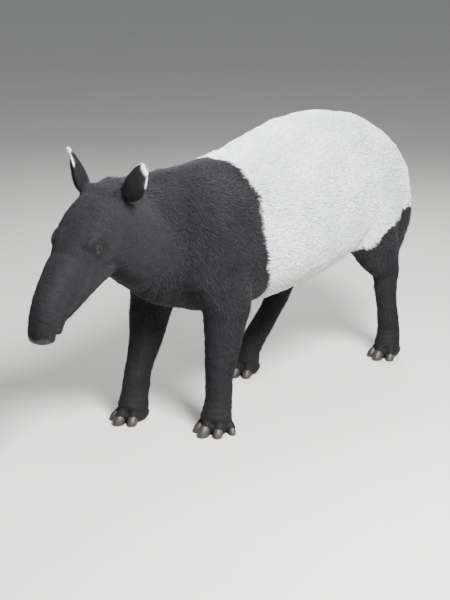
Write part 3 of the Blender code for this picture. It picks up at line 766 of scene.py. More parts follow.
def faceShare(points):  # 1 on the head, fading to 0 down the neck
    s, u, o = headPlace(points)
    return smoothstep(-0.09, 0.0, s) * smoothstep(-0.38, -0.30, u)


def thinned(whole, name):  # fewer triangles on the trunk than on the head and feet
    points = readPoints(whole.data)
    fine = np.maximum(faceShare(points), 0.8 * smoothstep(0.15, 0.08, points[:, 2]))
    keep = whole.vertex_groups.new(name="keep")
    for level in np.linspace(0.1, 1.0, 10):
        chosen = np.nonzero(np.abs(fine - level) <= 0.05)[0]
        keep.add(chosen.tolist(), float(level), "REPLACE")
    thin = whole.modifiers.new("Decimate", "DECIMATE")
    thin.ratio = skinPlan["triangles"] / (2 * len(whole.data.polygons))
    thin.vertex_group = "keep"
    thin.invert_vertex_group = True
    thin.vertex_group_factor = skinPlan["keepFactor"]
    made = evaluated(whole, name, tapir)
    print("skin thinned", len(made.data.polygons))
    return made


# Folds, pressed into the whole skin before it is thinned
folds = {
    "snoutSpacing": 0.0125,
    "snoutDepth": 0.0012,
    "snoutWidth": 0.0022,
    "eyeRing": (0.0205, 0.0150),
    "eyeDepth": 0.0014,
    "throatAt": (-0.585, -0.640, -0.690, -0.735, -0.775),
    "throatDepth": 0.0032,
    "frontJoints": (0.305, 0.278, 0.118, 0.097, 0.076),
    "hindJoints": (0.352, 0.322, 0.124, 0.101, 0.079),
    "jointDepth": 0.0015,
    "ripple": 0.0016,
}


def mouthHeight(s):
    line = sorted((row[0], row[1]) for row in head["mouth"])
    return np.interp(s, [a for a, b in line], [b for a, b in line])


def eyePlane(points, side):  # metres from the middle of the eye along its axes
    local = points - np.array(eyeSpot(side))
    return [local @ np.array(axis) for axis in eyeAxes(side)]


def lidRing(points, side):  # 1 on the edge of the lids, then metres up and out
    a, b, out = eyePlane(points, side)
    return np.hypot(a / eye["opening"][0], b / eye["opening"][1]), b, out


def foldDepth(points):  # metres to push each point along its normal
    s, u, o = headPlace(points)
    onFace = faceShare(points)
    amount = folds["ripple"] * waves(points, 0.17, 5) * (1 - onFace)
    amount += 0.0007 * waves(points, 0.05, 6)
    near = np.nonzero(onFace > 0.5)[0]
    path = refined(head["snout"], 40)[:, :2]
    steps = np.linalg.norm(np.diff(path, axis=0), axis=1)
    arc = np.concatenate([[0], np.cumsum(steps)])
    onSnout = near[s[near] > 0.28]
    places = np.stack([s[onSnout], u[onSnout]], 1)
    tree = KDTree(len(path))
    for i, (a, b) in enumerate(path):
        tree.insert((a, b, 0), i)
    tree.balance()
    run = np.array([arc[tree.find((a, b, 0))[1]] for a, b in places])
    turn = run / folds["snoutSpacing"] + 0.42 * waves(points[onSnout], 0.050, 7)
    gap = np.abs(turn - np.round(turn)) * folds["snoutSpacing"]
    patchy = 0.25 + 0.75 * smoothstep(-0.7, 0.7, waves(points[onSnout], 0.032, 17))
    press = np.exp(-((gap / folds["snoutWidth"]) ** 2)) * patchy
    press *= smoothstep(0.030, 0.075, run) * smoothstep(arc[-1] - 0.004, arc[-1] - 0.022, run)
    press *= smoothstep(0.004, 0.020, u[onSnout] - mouthHeight(s[onSnout]))
    amount[onSnout] -= folds["snoutDepth"] * press
    for side in (1, -1):
        a, b, out = eyePlane(points[near], side)
        ring = np.hypot(a / folds["eyeRing"][0], b / folds["eyeRing"][1])
        close = (np.hypot(a, b) < 0.05) * (out > -0.03)
        strength = folds["eyeDepth"] * (0.75 + 0.25 * np.tanh(b / 0.004)) * close
        amount[near] -= strength * np.exp(-(((ring - 1) / 0.11) ** 2))
        amount[near] -= 0.55 * strength * np.exp(-(((ring - 1.55) / 0.12) ** 2)) * (b < 0.004)
        amount[near] += 0.5 * strength * np.exp(-(((ring - 1.26) / 0.12) ** 2))
    along = points[:, 1] + 0.35 * (points[:, 2] - 0.70) + 0.007 * waves(points, 0.13, 8)
    low = smoothstep(0.82, 0.64, points[:, 2]) * smoothstep(0.45, 0.52, points[:, 2]) * (1 - onFace)
    for place in folds["throatAt"]:
        amount -= folds["throatDepth"] * low * np.exp(-(((along - place) / 0.008) ** 2))
    height = points[:, 2] + 0.0035 * waves(points, 0.07, 9)
    lower = (points[:, 2] < 0.42) & (u < -0.30)
    front = points[:, 1] < -0.2
    for joints, chosen in ((folds["frontJoints"], front), (folds["hindJoints"], ~front)):
        for place in joints:
            amount -= folds["jointDepth"] * (lower & chosen) * np.exp(-(((height - place) / 0.0042) ** 2))
    return amount


def insetDepth(points):  # the coat's depth, thin on the head and feet
    s, u, o = headPlace(points)
    depth = skinPlan["bodyInset"] + (skinPlan["faceInset"] - skinPlan["bodyInset"]) * faceShare(points)
    low = smoothstep(0.20, 0.06, points[:, 2]) * (u < -0.30)
    return depth + (skinPlan["footInset"] - depth) * low


def softened(piece, weights, rounds):  # smooths only where the weight is 1
    group = piece.vertex_groups.new(name="soft")
    group.add(np.nonzero(weights)[0].tolist(), 1.0, "REPLACE")
    smooth = piece.modifiers.new("Smooth", "SMOOTH")
    smooth.factor = 0.5
    smooth.iterations = rounds
    smooth.vertex_group = "soft"
    mesh = finalMesh(piece)
    piece.modifiers.remove(smooth)
    piece.vertex_groups.remove(group)
    piece.data = mesh


def buildSkin():
    whole, limbLines = fuseMasses()
    points = readPoints(whole.data)
    pushedOut(whole.data, foldDepth(points) - insetDepth(points))
    skin = thinned(whole, "skin")
    bpy.data.objects.remove(whole)
    for side in (1, -1):
        boolean(skin, buildEar(side), "UNION")
    points = readPoints(skin.data)
    seam = np.zeros(len(points), bool)
    for side in (1, -1):
        root, axis, facing, across = earFrame(side)
        height = (points - np.array(root)) @ np.array(axis)
        seam |= (distanceTo(root, points) < 0.042) & (height < 0.022)
    softened(skin, seam, 7)
    for side in (1, -1):
        socketRadii = (eye["radius"] + skinPlan["gap"],) * 3
        boolean(skin, ellipsoid("socket", eyeSpot(side), headAxes(), socketRadii, 48), "DIFFERENCE")
        boolean(skin, eyeOpening(side), "DIFFERENCE")
        boolean(skin, mouthGroove(side), "DIFFERENCE")
        boolean(skin, nostrilPit(side), "DIFFERENCE")
    for foot in legs["feet"]:
        for place, way, size in toesOf(foot):
            boolean(skin, hoofShape("nest", place, way, size, skinPlan["gap"]), "DIFFERENCE")
    points = readPoints(skin.data)
    s, u, o = headPlace(points)
    edge = (faceShare(points) > 0.9) & (s > 0.305) & (np.abs(u - mouthHeight(s)) < 0.0035)
    for side in (1, -1):
        ring, b, out = lidRing(points, side)
        edge |= (np.abs(ring - 1) < 0.16) & (out > 0.008) & (out < 0.03)
    softened(skin, edge, 2)
    points = readPoints(skin.data)
    points[:, 2] = np.maximum(points[:, 2], 0.0008)
    writePoints(skin.data, points)
    skin.data.calc_loop_triangles()
    print("skin cut and joined", len(skin.data.loop_triangles), "triangles")
    return skin, limbLines


skin, limbLines = buildSkin()

# What the coat reads from the skin: markings, lie, length and cover
marks = {
    # the white saddle's front edge as height and y, its rear edge as y and height
    "frontEdge": (
        (0.38, -0.215),
        (0.49, -0.240),
        (0.56, -0.280),
        (0.70, -0.312),
        (0.82, -0.300),
        (0.93, -0.305),
    ),
    "rearEdge": ((0.20, 0.40), (0.29, 0.450), (0.36, 0.514), (0.43, 0.563), (0.60, 0.622), (0.78, 0.660)),
    "bellyEdge": 0.372,
    # the black between the buttocks, as height and half width
    "cleft": ((0.60, 0.085), (0.68, 0.052), (0.76, 0.030), (0.80, 0.010), (0.82, -0.03)),
    "wander": 0.050,  # how far the edges stray, broadly and then finely
    "fringe": 0.022,
}

furLengths = {
    "trunk": 0.023,
    "crest": 0.025,
    "leg": 0.016,
    "foot": 0.008,
    "cheek": 0.0105,
    "muzzle": 0.0062,
    "ear": 0.0065,
    "tail": 0.014,
}


def limbPlace(points):  # distance from the nearest limb's middle line, its radius, turn around it, which
    best, radius = np.full(len(points), 9.0), np.full(len(points), 0.05)
    turn, which = np.zeros(len(points)), np.zeros(len(points), int)
    for number, stations in enumerate(limbLines.values()):
        rows = refined(stations)[::-1]
        x, y, r = (np.interp(points[:, 2], rows[:, 2], rows[:, c]) for c in (0, 1, 3))
        away = np.hypot(points[:, 0] - x, points[:, 1] - y)
        closer = away < best
        best[closer], radius[closer], which[closer] = away[closer], r[closer], number
        turn[closer] = np.arctan2(points[closer, 0] - x[closer], points[closer, 1] - y[closer])
    return best, radius, turn, which


def earPlace(points):  # how surely on an ear, share of its length, share of its turn, inner side or not
    member, share, turn, inner = (np.zeros(len(points)) for i in range(4))
    for side in (1, -1):
        root, axis, facing, across = earFrame(side)
        tree = KDTree(40 * 25)
        grid = [(v, t) for v in np.linspace(0, 1, 40) for t in np.linspace(-1, 1, 25)]
        for i, (v, t) in enumerate(grid):
            tree.insert(earPoint(side, v, t), i)
        tree.balance()
        for i in np.nonzero(distanceTo(root + axis * ear["length"] * 0.5, points) < 0.12)[0]:
            spot, number, distance = tree.find(points[i])
            v, t = grid[number]
            m = float(smoothstep(0.009, 0.005, distance) * smoothstep(0.10, 0.20, v))
            if m > member[i]:
                middle = (earPoint(side, v, 0.99) + earPoint(side, v, -0.99)) / 2
                back = earPoint(side, v, 0)
                toward = (middle - back).normalized()
                member[i], share[i], turn[i] = m, v, t
                inner[i] = float((Vector(points[i]) - spot).dot(middle + toward * 0.02 - spot) > 0)
    return member, share, turn, inner


def tailAway(points):  # metres outside the tail's own surface
    rows = refined(body["tail"], 12)
    return np.minimum.reduce([distanceTo(row[:3], points) - row[3:].mean() for row in rows])


def tailShare(points):  # 1 on the free part of the tail
    return smoothstep(0.012, 0.004, tailAway(points)) * smoothstep(0.87, 0.82, points[:, 2])


def saddleField(points):  # metres inside the white saddle, negative outside it
    x, y, z = points.T
    front = y - np.interp(z, *np.array(marks["frontEdge"]).T)
    rear = (z - np.interp(y, *np.array(marks["rearEdge"]).T)) / 1.12
    rear = np.where(y > 0.16, rear, 1.0)
    low = z - marks["bellyEdge"]
    away, radius, turn, which = limbPlace(points)
    limbGap = np.where(z < 0.50, away - 1.12 * radius, 1.0) + 0.6 * np.maximum(z - 0.44, 0)
    limbGap = np.where(np.abs(y - 0.2) < 0.5, limbGap, 1.0)
    cleft = np.abs(x) - np.interp(z, *np.array(marks["cleft"]).T)
    cleft = np.where((y > 0.55) & (tailAway(points) > 0.004), cleft, 1.0)
    return np.clip(np.minimum.reduce([front, rear, low, limbGap, cleft]), -0.08, 0.08)


def bareSkin(points):  # 1 on nose, lips and lid edges
    s, u, o = headPlace(points)
    onFace = faceShare(points)
    bare = smoothstep(0.046, 0.034, distanceTo(onHead(0.500, -0.200), points))
    lips = 0.45 * smoothstep(0.0050, 0.0030, np.abs(u - mouthHeight(s)))
    bare = np.maximum(bare, lips * smoothstep(0.325, 0.345, s) * onFace)
    for side in (1, -1):
        ring, b, out = lidRing(points, side)
        bare = np.maximum(bare, 0.7 * smoothstep(1.30, 1.10, ring) * (out > 0) * (out < 0.03))
        ahead, lift, away = nostril["place"]
        pit = distanceTo(onHead(ahead, lift, side * away), points)
        bare = np.maximum(bare, smoothstep(0.030, 0.022, pit))
    return bare


def lieField(points, normals, member):  # the way the hair lies on the surface
    x, y, z = points.T
    s, u, o = headPlace(points)
    forward, up, left = (np.array(a) for a in headAxes())
    flank = np.abs(normals[:, 0]) * smoothstep(0.98, 0.50, z)
    way = np.stack([0 * x, 0 * x + 1.0, -0.50 * flank], 1)
    fore = smoothstep(-0.30, -0.50, y) * smoothstep(0.95, 0.78, z)
    way = way * (1 - fore)[:, None] + np.outer(fore, (0, 0.55, -0.85))
    leg = smoothstep(0.54, 0.38, z) * (u < -0.30)
    belly = smoothstep(-0.55, -0.85, normals[:, 2]) * (np.abs(x) < 0.10)
    leg = leg * (1 - belly)
    way = way * (1 - leg)[:, None] + np.outer(leg, (0, 0.22, -1.0))
    tail = tailShare(points)
    way = way * (1 - tail)[:, None] + np.outer(tail, (0, 0.15, -1.0))
    face = faceShare(points)
    back = -forward[None, :] - 0.30 * np.abs(normals @ left)[:, None] * up[None, :]
    way = way * (1 - face)[:, None] + back * face[:, None]
    for side in (1, -1):
        axis = np.array(earFrame(side)[1])
        onEar = member * (o * side > 0)
        way = way * (1 - onEar)[:, None] + np.outer(onEar, axis)
    way += 0.22 * np.stack([waves(points, 0.22, 11 + i) for i in range(3)], 1) * (1 - face)[:, None]
    way -= normals * (way * normals).sum(1)[:, None]
    return way / np.maximum(np.linalg.norm(way, axis=1), 1e-5)[:, None]


def furLength(points, member, share):
    x, y, z = points.T
    s, u, o = headPlace(points)
    size = np.full(len(points), furLengths["trunk"])
    crest = smoothstep(0.05, 0.01, np.abs(x)) * smoothstep(-0.35, -0.5, y) * smoothstep(0.80, 0.86, z)
    size += crest * (furLengths["crest"] - size)
    leg = smoothstep(0.52, 0.34, z) * (u < -0.30)
    size += leg * (furLengths["leg"] - size)
    size += smoothstep(0.22, 0.05, z) * (u < -0.30) * (furLengths["foot"] - size)
    face = faceShare(points)
    facial = furLengths["cheek"] + smoothstep(0.16, 0.40, s) * (furLengths["muzzle"] - furLengths["cheek"])
    for side in (1, -1):
        a, b, out = eyePlane(points, side)
        facial -= 0.0035 * smoothstep(0.050, 0.022, np.hypot(a, b)) * (out > -0.02)
    size += face * (facial - size)
    size += tailShare(points) * (furLengths["tail"] - size)
    return size + member * (furLengths["ear"] + 0.004 * share**3 - size)


def paintedShadeField(points):  # painted shade: darker on the head, most on the muzzle, round the eyes and down the legs
    s, u, o = headPlace(points)
    onFace = faceShare(points)
    dusk = onFace * np.maximum(0.35, 0.75 * smoothstep(0.36, 0.50, s))
    for side in (1, -1):
        dusk = np.maximum(dusk, smoothstep(0.052, 0.022, distanceTo(eyeSpot(side), points)))
    return np.maximum(dusk, 0.6 * smoothstep(0.40, 0.12, points[:, 2]))


def cornerLists(mesh):
    corner = np.empty(len(mesh.loops), np.int32)
    mesh.loops.foreach_get("vertex_index", corner)
    total = np.empty(len(mesh.polygons), np.int32)
    mesh.polygons.foreach_get("loop_total", total)
    return corner, np.repeat(np.arange(len(total)), total), total


def unwrapSkin(mesh, points, earValues):  # trunk and head as one tube, then each limb, ear side and the tail
    x, y, z = points.T
    s, u, o = headPlace(points)
    member, share, turn, inner = earValues
    corner, face, total = cornerLists(mesh)

    def perFace(values):
        return np.bincount(face, values[corner], len(total)) / total

    ahead = headAxes()[0]
    middleX = np.where(y < head["poll"].y, (y - head["poll"].y) * ahead.x / ahead.y, 0)
    spineY = (-1.35, -1.00, -0.84, -0.60, -0.30, 0.30, 0.80)
    middleZ = np.interp(y, spineY, (0.55, 0.66, 0.74, 0.70, 0.67, 0.72, 0.78))
    angle = np.arctan2(x - middleX, z - middleZ)
    away, radius, limbTurn, which = limbPlace(points)
    onLeg = (perFace(z) < 0.44) & (perFace(u) < -0.30) & (perFace(away) < 0.13)
    onEar = perFace(member) > 0.5
    onTail = (perFace(tailAway(points)) < 0.006) & (perFace(z) < 0.85) & (perFace(y) > 0.70)
    faceWhich = np.round(perFace(which.astype(float))).astype(int)
    turns = np.where(onLeg[face], limbTurn[corner], angle[corner])
    spread = np.zeros(len(total))
    np.maximum.at(spread, face, turns)
    least = np.full(len(total), 9.0)
    np.minimum.at(least, face, turns)
    wrapped = ((spread - least) > math.pi)[face]
    turns = np.where(wrapped & (turns < 0), turns + 2 * math.pi, turns)
    around = (turns + math.pi) / (2 * math.pi)
    across = 0.01 + 0.97 * around
    along = 0.37 + 0.61 * (y[corner] + 1.35) / 2.2
    legFace = onLeg[face]
    across = np.where(legFace, 0.25 * faceWhich[face] + 0.01 + 0.225 * around, across)
    along = np.where(legFace, 0.01 + 0.27 * z[corner] / 0.45, along)
    earFace = onEar[face]
    strip = 0.2 * (np.round(perFace(inner))[face] + 2 * (perFace(o) > 0)[face])
    across = np.where(earFace, strip + 0.01 + 0.18 * (turn[corner] + 1) / 2, across)
    along = np.where(earFace, 0.295 + 0.060 * share[corner], along)
    across = np.where(onTail[face], 0.83 + 0.15 * around, across)
    along = np.where(onTail[face], 0.295 + 0.060 * (0.85 - z[corner]) / 0.15, along)
    layer = mesh.attributes.new("unwrap", "FLOAT_VECTOR", "CORNER")
    layer.data.foreach_set("vector", np.stack([across, along, 0 * along], 1).astype(np.float32).ravel())


def paintSkin(mesh):
    points, normals = readPoints(mesh), readNormals(mesh)
    earValues = earPlace(points)
    member, share, turn, inner = earValues
    s, u, o = headPlace(points)
    bare = bareSkin(points)
    edge = (np.abs(turn) - 0.1) * smoothstep(0.25, 0.55, share)
    rim = member * smoothstep(0.70, 0.86, np.maximum(share, edge))
    sole = smoothstep(0.030, 0.016, points[:, 2])
    onBody = (1 - faceShare(points)) * (1 - member) * (1 - sole)
    haired = np.maximum(faceShare(points), member)
    facial = haired * (1 - bare) * (1 - 0.45 * inner * member)
    for side in (1, -1):
        facial *= distanceTo(eyeSpot(side), points) > eye["radius"] + 0.0009
    pocket = (np.abs(u - mouthHeight(s)) < 0.0022) & (s > 0.3) & (faceShare(points) > 0.5)
    facial *= 1 - pocket
    storeValues(mesh, "saddle", saddleField(points))
    storeValues(mesh, "rim", rim)
    # painted shade: darker on the head, round the eyes and down the legs
    storeValues(mesh, "dusk", paintedShadeField(points))
    storeValues(mesh, "bare", bare)
    storeValues(mesh, "innerEar", inner * member)
    storeValues(mesh, "lie", lieField(points, normals, member), "FLOAT_VECTOR")
    storeValues(mesh, "furLength", furLength(points, member, share))
    storeValues(mesh, "bodyCover", onBody * (normals[:, 2] > -0.995))
    storeValues(mesh, "headCover", facial)
    x, y, z = points.T
    crest = smoothstep(0.040, 0.012, np.abs(x - 0.004)) * (normals[:, 2] > 0.5) * (z > 0.80) * (1 - member)
    storeValues(mesh, "napeCover", crest * smoothstep(-0.30, -0.42, y) * smoothstep(0.06, 0.0, s))
    lash = np.zeros(len(points))
    for side in (1, -1):
        ring, b, out = lidRing(points, side)
        lash = np.maximum(lash, (ring > 0.98) * (ring < 1.16) * (b > 0.003) * (out > 0.0125) * (out < 0.03))
    storeValues(mesh, "lashCover", lash)
    muzzle = smoothstep(0.34, 0.42, s) * faceShare(points) * (1 - pocket)
    chin = (s > 0.30) * (u < mouthHeight(s)) * faceShare(points)
    whiskers = np.maximum(muzzle, chin) * (normals @ np.array(headAxes()[1]) < 0.75)
    storeValues(mesh, "whiskerCover", whiskers * (1 - 0.7 * bare))
    unwrapSkin(mesh, points, earValues)


paintSkin(skin.data)
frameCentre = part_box("eye_left")
frameCentre = (frameCentre[0] + frameCentre[1]) / 2
shift = Matrix.Translation(frameCentre - onHead(*eye["place"]))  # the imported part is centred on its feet
skin.data.transform(shift)
for polygon in skin.data.polygons:
    polygon.use_smooth = True
print("skin painted", tuple(round(v, 4) for v in shift.translation))


# Materials
colours = {
    "darkFur": "110f13",
    "darkFurLit": "28252b",
    # painted shade, laid on the head, round the eyes and down the legs
    "paintedShadeFur": "0c0b0e",
    "whiteFur": "fbfdfd",
    "whiteFurShade": "e0e5e6",
    # the white a little yellowed low down, and painted shade: darker towards the belly
    "bellyYellowingAndShade": "c6c3b8",
    "shadeBetweenHairs": "a09c9a",  # painted shade between the hairs: darkens the hide there
    "bareSkin": "272224",
    "noseSkin": "1c181b",
    "innerEar": "443c3e",
    "iris": "130a06",
    "irisRay": "120a06",
    "pupil": "050505",
    "eyeWhite": "241b17",
    "horn": "221f1e",
    "hornLine": "38332f",
    "hornPale": "453f39",
    "floor": "c8c7c4",
    "floorCloud": "c3c2bf",
}

patterns = {
    # millimetres from one mark to the next, layers of finer marks, and their strength
    "edgeWander": (71.4, 3.0, 0.6),
    "edgeFringe": (13.33, 2.0, 0.5),
    "furMottle": (200.0, 4.0, 0.5),
    "hideGrain": (1.111, 3.0, 0.5),  # real hide has finer grain, which would not show
    "hidePores": (2.381, 0.0, 0.5),  # real pores are well under 1 mm, and would not show
    "noseBlotch": (16.67, 4.0, 0.5),
    "irisRay": (2.0, 3.0, 0.5),
    "hornGrain": (3.846, 3.0, 0.5),
    "floorCloud": (667.0, 2.0, 0.5),
}

# settings that many nodes share
adding = {"operation": "ADD"}
multiplying = {"operation": "MULTIPLY"}
multiplyAdding = {"operation": "MULTIPLY_ADD"}
easing = {"interpolation_type": "SMOOTHSTEP"}
mixing = {"data_type": "RGBA"}
tinting = {"data_type": "RGBA", "blend_type": "MULTIPLY"}


def patternInputs(name, place):
    size, detail, roughness = patterns[name]
    return {"Vector": place, "Scale": 1000 / size, "Detail": detail, "Roughness": roughness}


def newMaterial(name):
    material = bpy.data.materials.new(name)
    material.use_nodes = True
    material.node_tree.nodes.clear()
    return material, material.node_tree


def markings():  # the tapir's black and white, the same for skin and coat
    tree = bpy.data.node_groups.new("tapirMarkings", "ShaderNodeTree")
    tree.interface.new_socket("Shade", in_out="INPUT", socket_type="NodeSocketFloat")
    tree.interface.new_socket("Color", in_out="OUTPUT", socket_type="NodeSocketColor")
    given = addNode(tree, "NodeGroupInput", out="Shade")
    saddle = addNode(tree, "Attribute", {"attribute_name": "saddle"}, out="Fac")
    rim = addNode(tree, "Attribute", {"attribute_name": "rim"}, out="Fac")
    dusk = addNode(tree, "Attribute", {"attribute_name": "dusk"}, out="Fac")
    place = addNode(tree, "TexCoord", out="Object")
    broad = addNode(tree, "TexNoise", None, patternInputs("edgeWander", place))
    fine = addNode(tree, "TexNoise", None, patternInputs("edgeFringe", place))
    mottle = addNode(tree, "TexNoise", None, patternInputs("furMottle", place))
    wander = addNode(tree, "Math", multiplyAdding, {0: broad, 1: marks["wander"], 2: -marks["wander"] / 2})
    fringe = addNode(tree, "Math", multiplyAdding, {0: fine, 1: marks["fringe"], 2: -marks["fringe"] / 2})
    edge = addNode(tree, "Math", adding, {0: wander, 1: fringe})
    edge = addNode(tree, "Math", adding, {0: saddle, 1: edge})
    white = addNode(tree, "MapRange", easing, {0: edge, 1: -0.0035, 2: 0.0035})
    rim = addNode(tree, "Math", adding, {0: rim, 1: fringe})
    rim = addNode(tree, "MapRange", easing, {0: rim, 1: 0.35, 2: 0.65})
    white = addNode(tree, "Math", {"operation": "MAXIMUM"}, {0: white, 1: rim})
    patchy = addNode(tree, "MapRange", easing, {0: mottle, 1: 0.35, 2: 0.7, 4: 0.5})
    shade = addNode(tree, "Math", multiplyAdding, {0: given, 1: 0.45, 2: patchy})
    dark = addNode(tree, "Mix", mixing, {0: shade, 6: colours["darkFur"], 7: colours["darkFurLit"]}, 2)
    # painted shade: the dark coat darker on the head, round the eyes and down the legs
    dark = addNode(tree, "Mix", mixing, {0: dusk, 6: dark, 7: colours["paintedShadeFur"]}, 2)
    height = addNode(tree, "SeparateXYZ", None, {0: place}, "Z")
    # below 0.62 m the white turns warmer and darker: a little yellowing and painted shade
    low = addNode(tree, "MapRange", easing, {0: height, 1: 0.62, 2: 0.42, 4: 0.5})
    pale = addNode(tree, "Mix", mixing, {0: shade, 6: colours["whiteFurShade"], 7: colours["whiteFur"]}, 2)
    pale = addNode(tree, "Mix", mixing, {0: low, 6: pale, 7: colours["bellyYellowingAndShade"]}, 2)
    coat = addNode(tree, "Mix", mixing, {0: white, 6: dark, 7: pale}, 2)
    addNode(tree, "NodeGroupOutput", None, {"Color": coat})
    return tree


markingsTree = markings()


def furMaterial():  # short, close tapir hair: soft sheen, with painted shade toward the roots
    material, tree = newMaterial("Short tapir fur")
    shade = addNode(tree, "Attribute", {"attribute_name": "shade"}, out="Fac")
    along = addNode(tree, "Attribute", {"attribute_name": "along"}, out="Fac")
    coat = addNode(tree, "Group", {"node_tree": markingsTree}, {"Shade": shade})
    # painted shade: each tuft darker toward its root
    rootShade = addNode(tree, "MapRange", easing, {0: along, 1: 0.0, 2: 0.7, 3: 0.76, 4: 1.0})
    colour = addNode(tree, "Mix", tinting, {0: 1.0, 6: coat, 7: rootShade}, 2)
    hair = {"Base Color": colour, "Roughness": 0.56, "Specular IOR Level": 0.18}
    sheen = {"Sheen Weight": 0.03, "Sheen Roughness": 0.5}
    shader = addNode(tree, "BsdfPrincipled", None, {**hair, **sheen})
    addNode(tree, "OutputMaterial", None, {"Surface": shader})
    return material


def skinMaterial():  # thick hide under the hair, bare, damp and pored on the nose and lips
    material, tree = newMaterial("Tapir hide")
    bare = addNode(tree, "Attribute", {"attribute_name": "bare"}, out="Fac")
    rim = addNode(tree, "Attribute", {"attribute_name": "rim"}, out="Fac")
    innerEar = addNode(tree, "Attribute", {"attribute_name": "innerEar"}, out="Fac")
    place = addNode(tree, "TexCoord", out="Object")
    grain = addNode(tree, "TexNoise", None, patternInputs("hideGrain", place))
    blotch = addNode(tree, "TexNoise", None, patternInputs("noseBlotch", place))
    pores = addNode(tree, "TexVoronoi", None, patternInputs("hidePores", place), "Distance")
    coat = addNode(tree, "Group", {"node_tree": markingsTree}, {"Shade": grain})
    # painted shade: the hide between the hairs darker than the coat
    haired = addNode(tree, "Mix", tinting, {0: 1.0, 6: coat, 7: colours["shadeBetweenHairs"]}, 2)
    haired = addNode(tree, "Mix", mixing, {0: innerEar, 6: haired, 7: colours["innerEar"]}, 2)
    rim = addNode(tree, "Math", multiplying, {0: rim, 1: 0.9})
    haired = addNode(tree, "Mix", mixing, {0: rim, 6: haired, 7: colours["whiteFurShade"]}, 2)
    blotch = addNode(tree, "MapRange", easing, {0: blotch, 1: 0.40, 2: 0.62})
    nose = addNode(tree, "Mix", mixing, {0: blotch, 6: colours["noseSkin"], 7: colours["bareSkin"]}, 2)
    colour = addNode(tree, "Mix", mixing, {0: bare, 6: haired, 7: nose}, 2)
    damp = addNode(tree, "MapRange", easing, {0: bare, 3: 0.80, 4: 0.42})
    pores = addNode(tree, "Math", multiplying, {0: pores, 1: bare})
    relief = addNode(tree, "Math", multiplyAdding, {0: grain, 1: 0.6, 2: pores})
    bump = addNode(tree, "Bump", None, {"Height": relief, "Strength": 0.5, "Distance": 0.0007})
    hide = {"Base Color": colour, "Roughness": damp, "Specular IOR Level": 0.26, "Normal": bump}
    shader = addNode(tree, "BsdfPrincipled", None, hide)
    addNode(tree, "OutputMaterial", None, {"Surface": shader})
    return material


def eyeMaterial():  # wet dark-brown eye with a round pupil and a clear window
    material, tree = newMaterial("Wet brown eye")
    gaze = addNode(tree, "Attribute", {"attribute_name": "gaze"}, out="Fac")
    place = addNode(tree, "TexCoord", out="Object")
    rays = addNode(tree, "TexNoise", None, patternInputs("irisRay", place))
    colour = addNode(tree, "Mix", mixing, {0: rays, 6: colours["irisRay"], 7: colours["iris"]}, 2)
    inner, outer = eye["pupilEdge"]
    iris = addNode(tree, "MapRange", easing, {0: gaze, 1: inner, 2: outer})
    colour = addNode(tree, "Mix", mixing, {0: iris, 6: colours["pupil"], 7: colour}, 2)
    inner, outer = eye["irisEdge"]
    white = addNode(tree, "MapRange", easing, {0: gaze, 1: inner, 2: outer})
    colour = addNode(tree, "Mix", mixing, {0: white, 6: colour, 7: colours["eyeWhite"]}, 2)
    ball = {"Base Color": colour, "Roughness": 0.6, "Specular IOR Level": 0.02}
    window = {"Coat Weight": 1.0, "Coat Roughness": 0.03, "Coat IOR": 1.33}
    shader = addNode(tree, "BsdfPrincipled", None, {**ball, **window})
    addNode(tree, "OutputMaterial", None, {"Surface": shader})
    return material


def hoofMaterial():  # dull dark horn with growth lines, paler at the worn edge
    material, tree = newMaterial("Hoof horn")
    growth = addNode(tree, "Attribute", {"attribute_name": "growth"}, out="Fac")
    place = addNode(tree, "TexCoord", out="Object")
    grain = addNode(tree, "TexNoise", None, patternInputs("hornGrain", place))
    uneven = addNode(tree, "Math", multiplying, {0: grain, 1: 3.0})
    perMetre = 2 * math.pi / legs["growthLines"]
    turns = addNode(tree, "Math", multiplyAdding, {0: growth, 1: perMetre, 2: uneven})
    lines = addNode(tree, "Math", {"operation": "SINE"}, {0: turns})
    shade = addNode(tree, "Math", multiplyAdding, {0: lines, 1: 0.12, 2: grain})
    lit = addNode(tree, "MapRange", easing, {0: shade, 1: 0.35, 2: 0.8})
    colour = addNode(tree, "Mix", mixing, {0: lit, 6: colours["horn"], 7: colours["hornLine"]}, 2)
    worn = addNode(tree, "MapRange", easing, {0: growth, 1: 0.016, 2: 0.030, 4: 0.6})
    colour = addNode(tree, "Mix", mixing, {0: worn, 6: colour, 7: colours["hornPale"]}, 2)
    bump = addNode(tree, "Bump", None, {"Height": shade, "Strength": 0.5, "Distance": 0.0005})
    dull = {"Base Color": colour, "Roughness": 0.5, "Specular IOR Level": 0.4, "Normal": bump}
    shader = addNode(tree, "BsdfPrincipled", None, dull)
    addNode(tree, "OutputMaterial", None, {"Surface": shader})
    return material


def floorMaterial():  # plain matt studio floor
    material, tree = newMaterial("Pale studio floor")
    place = addNode(tree, "TexCoord", out="Object")
    cloud = addNode(tree, "TexNoise", None, patternInputs("floorCloud", place))
    colour = addNode(tree, "Mix", mixing, {0: cloud, 6: colours["floorCloud"], 7: colours["floor"]}, 2)
    shader = addNode(tree, "BsdfPrincipled", None, {"Base Color": colour, "Roughness": 0.8})
    addNode(tree, "OutputMaterial", None, {"Surface": shader})
    return material


skin.data.materials.clear()
skin.data.materials.append(skinMaterial())
fur = furMaterial()

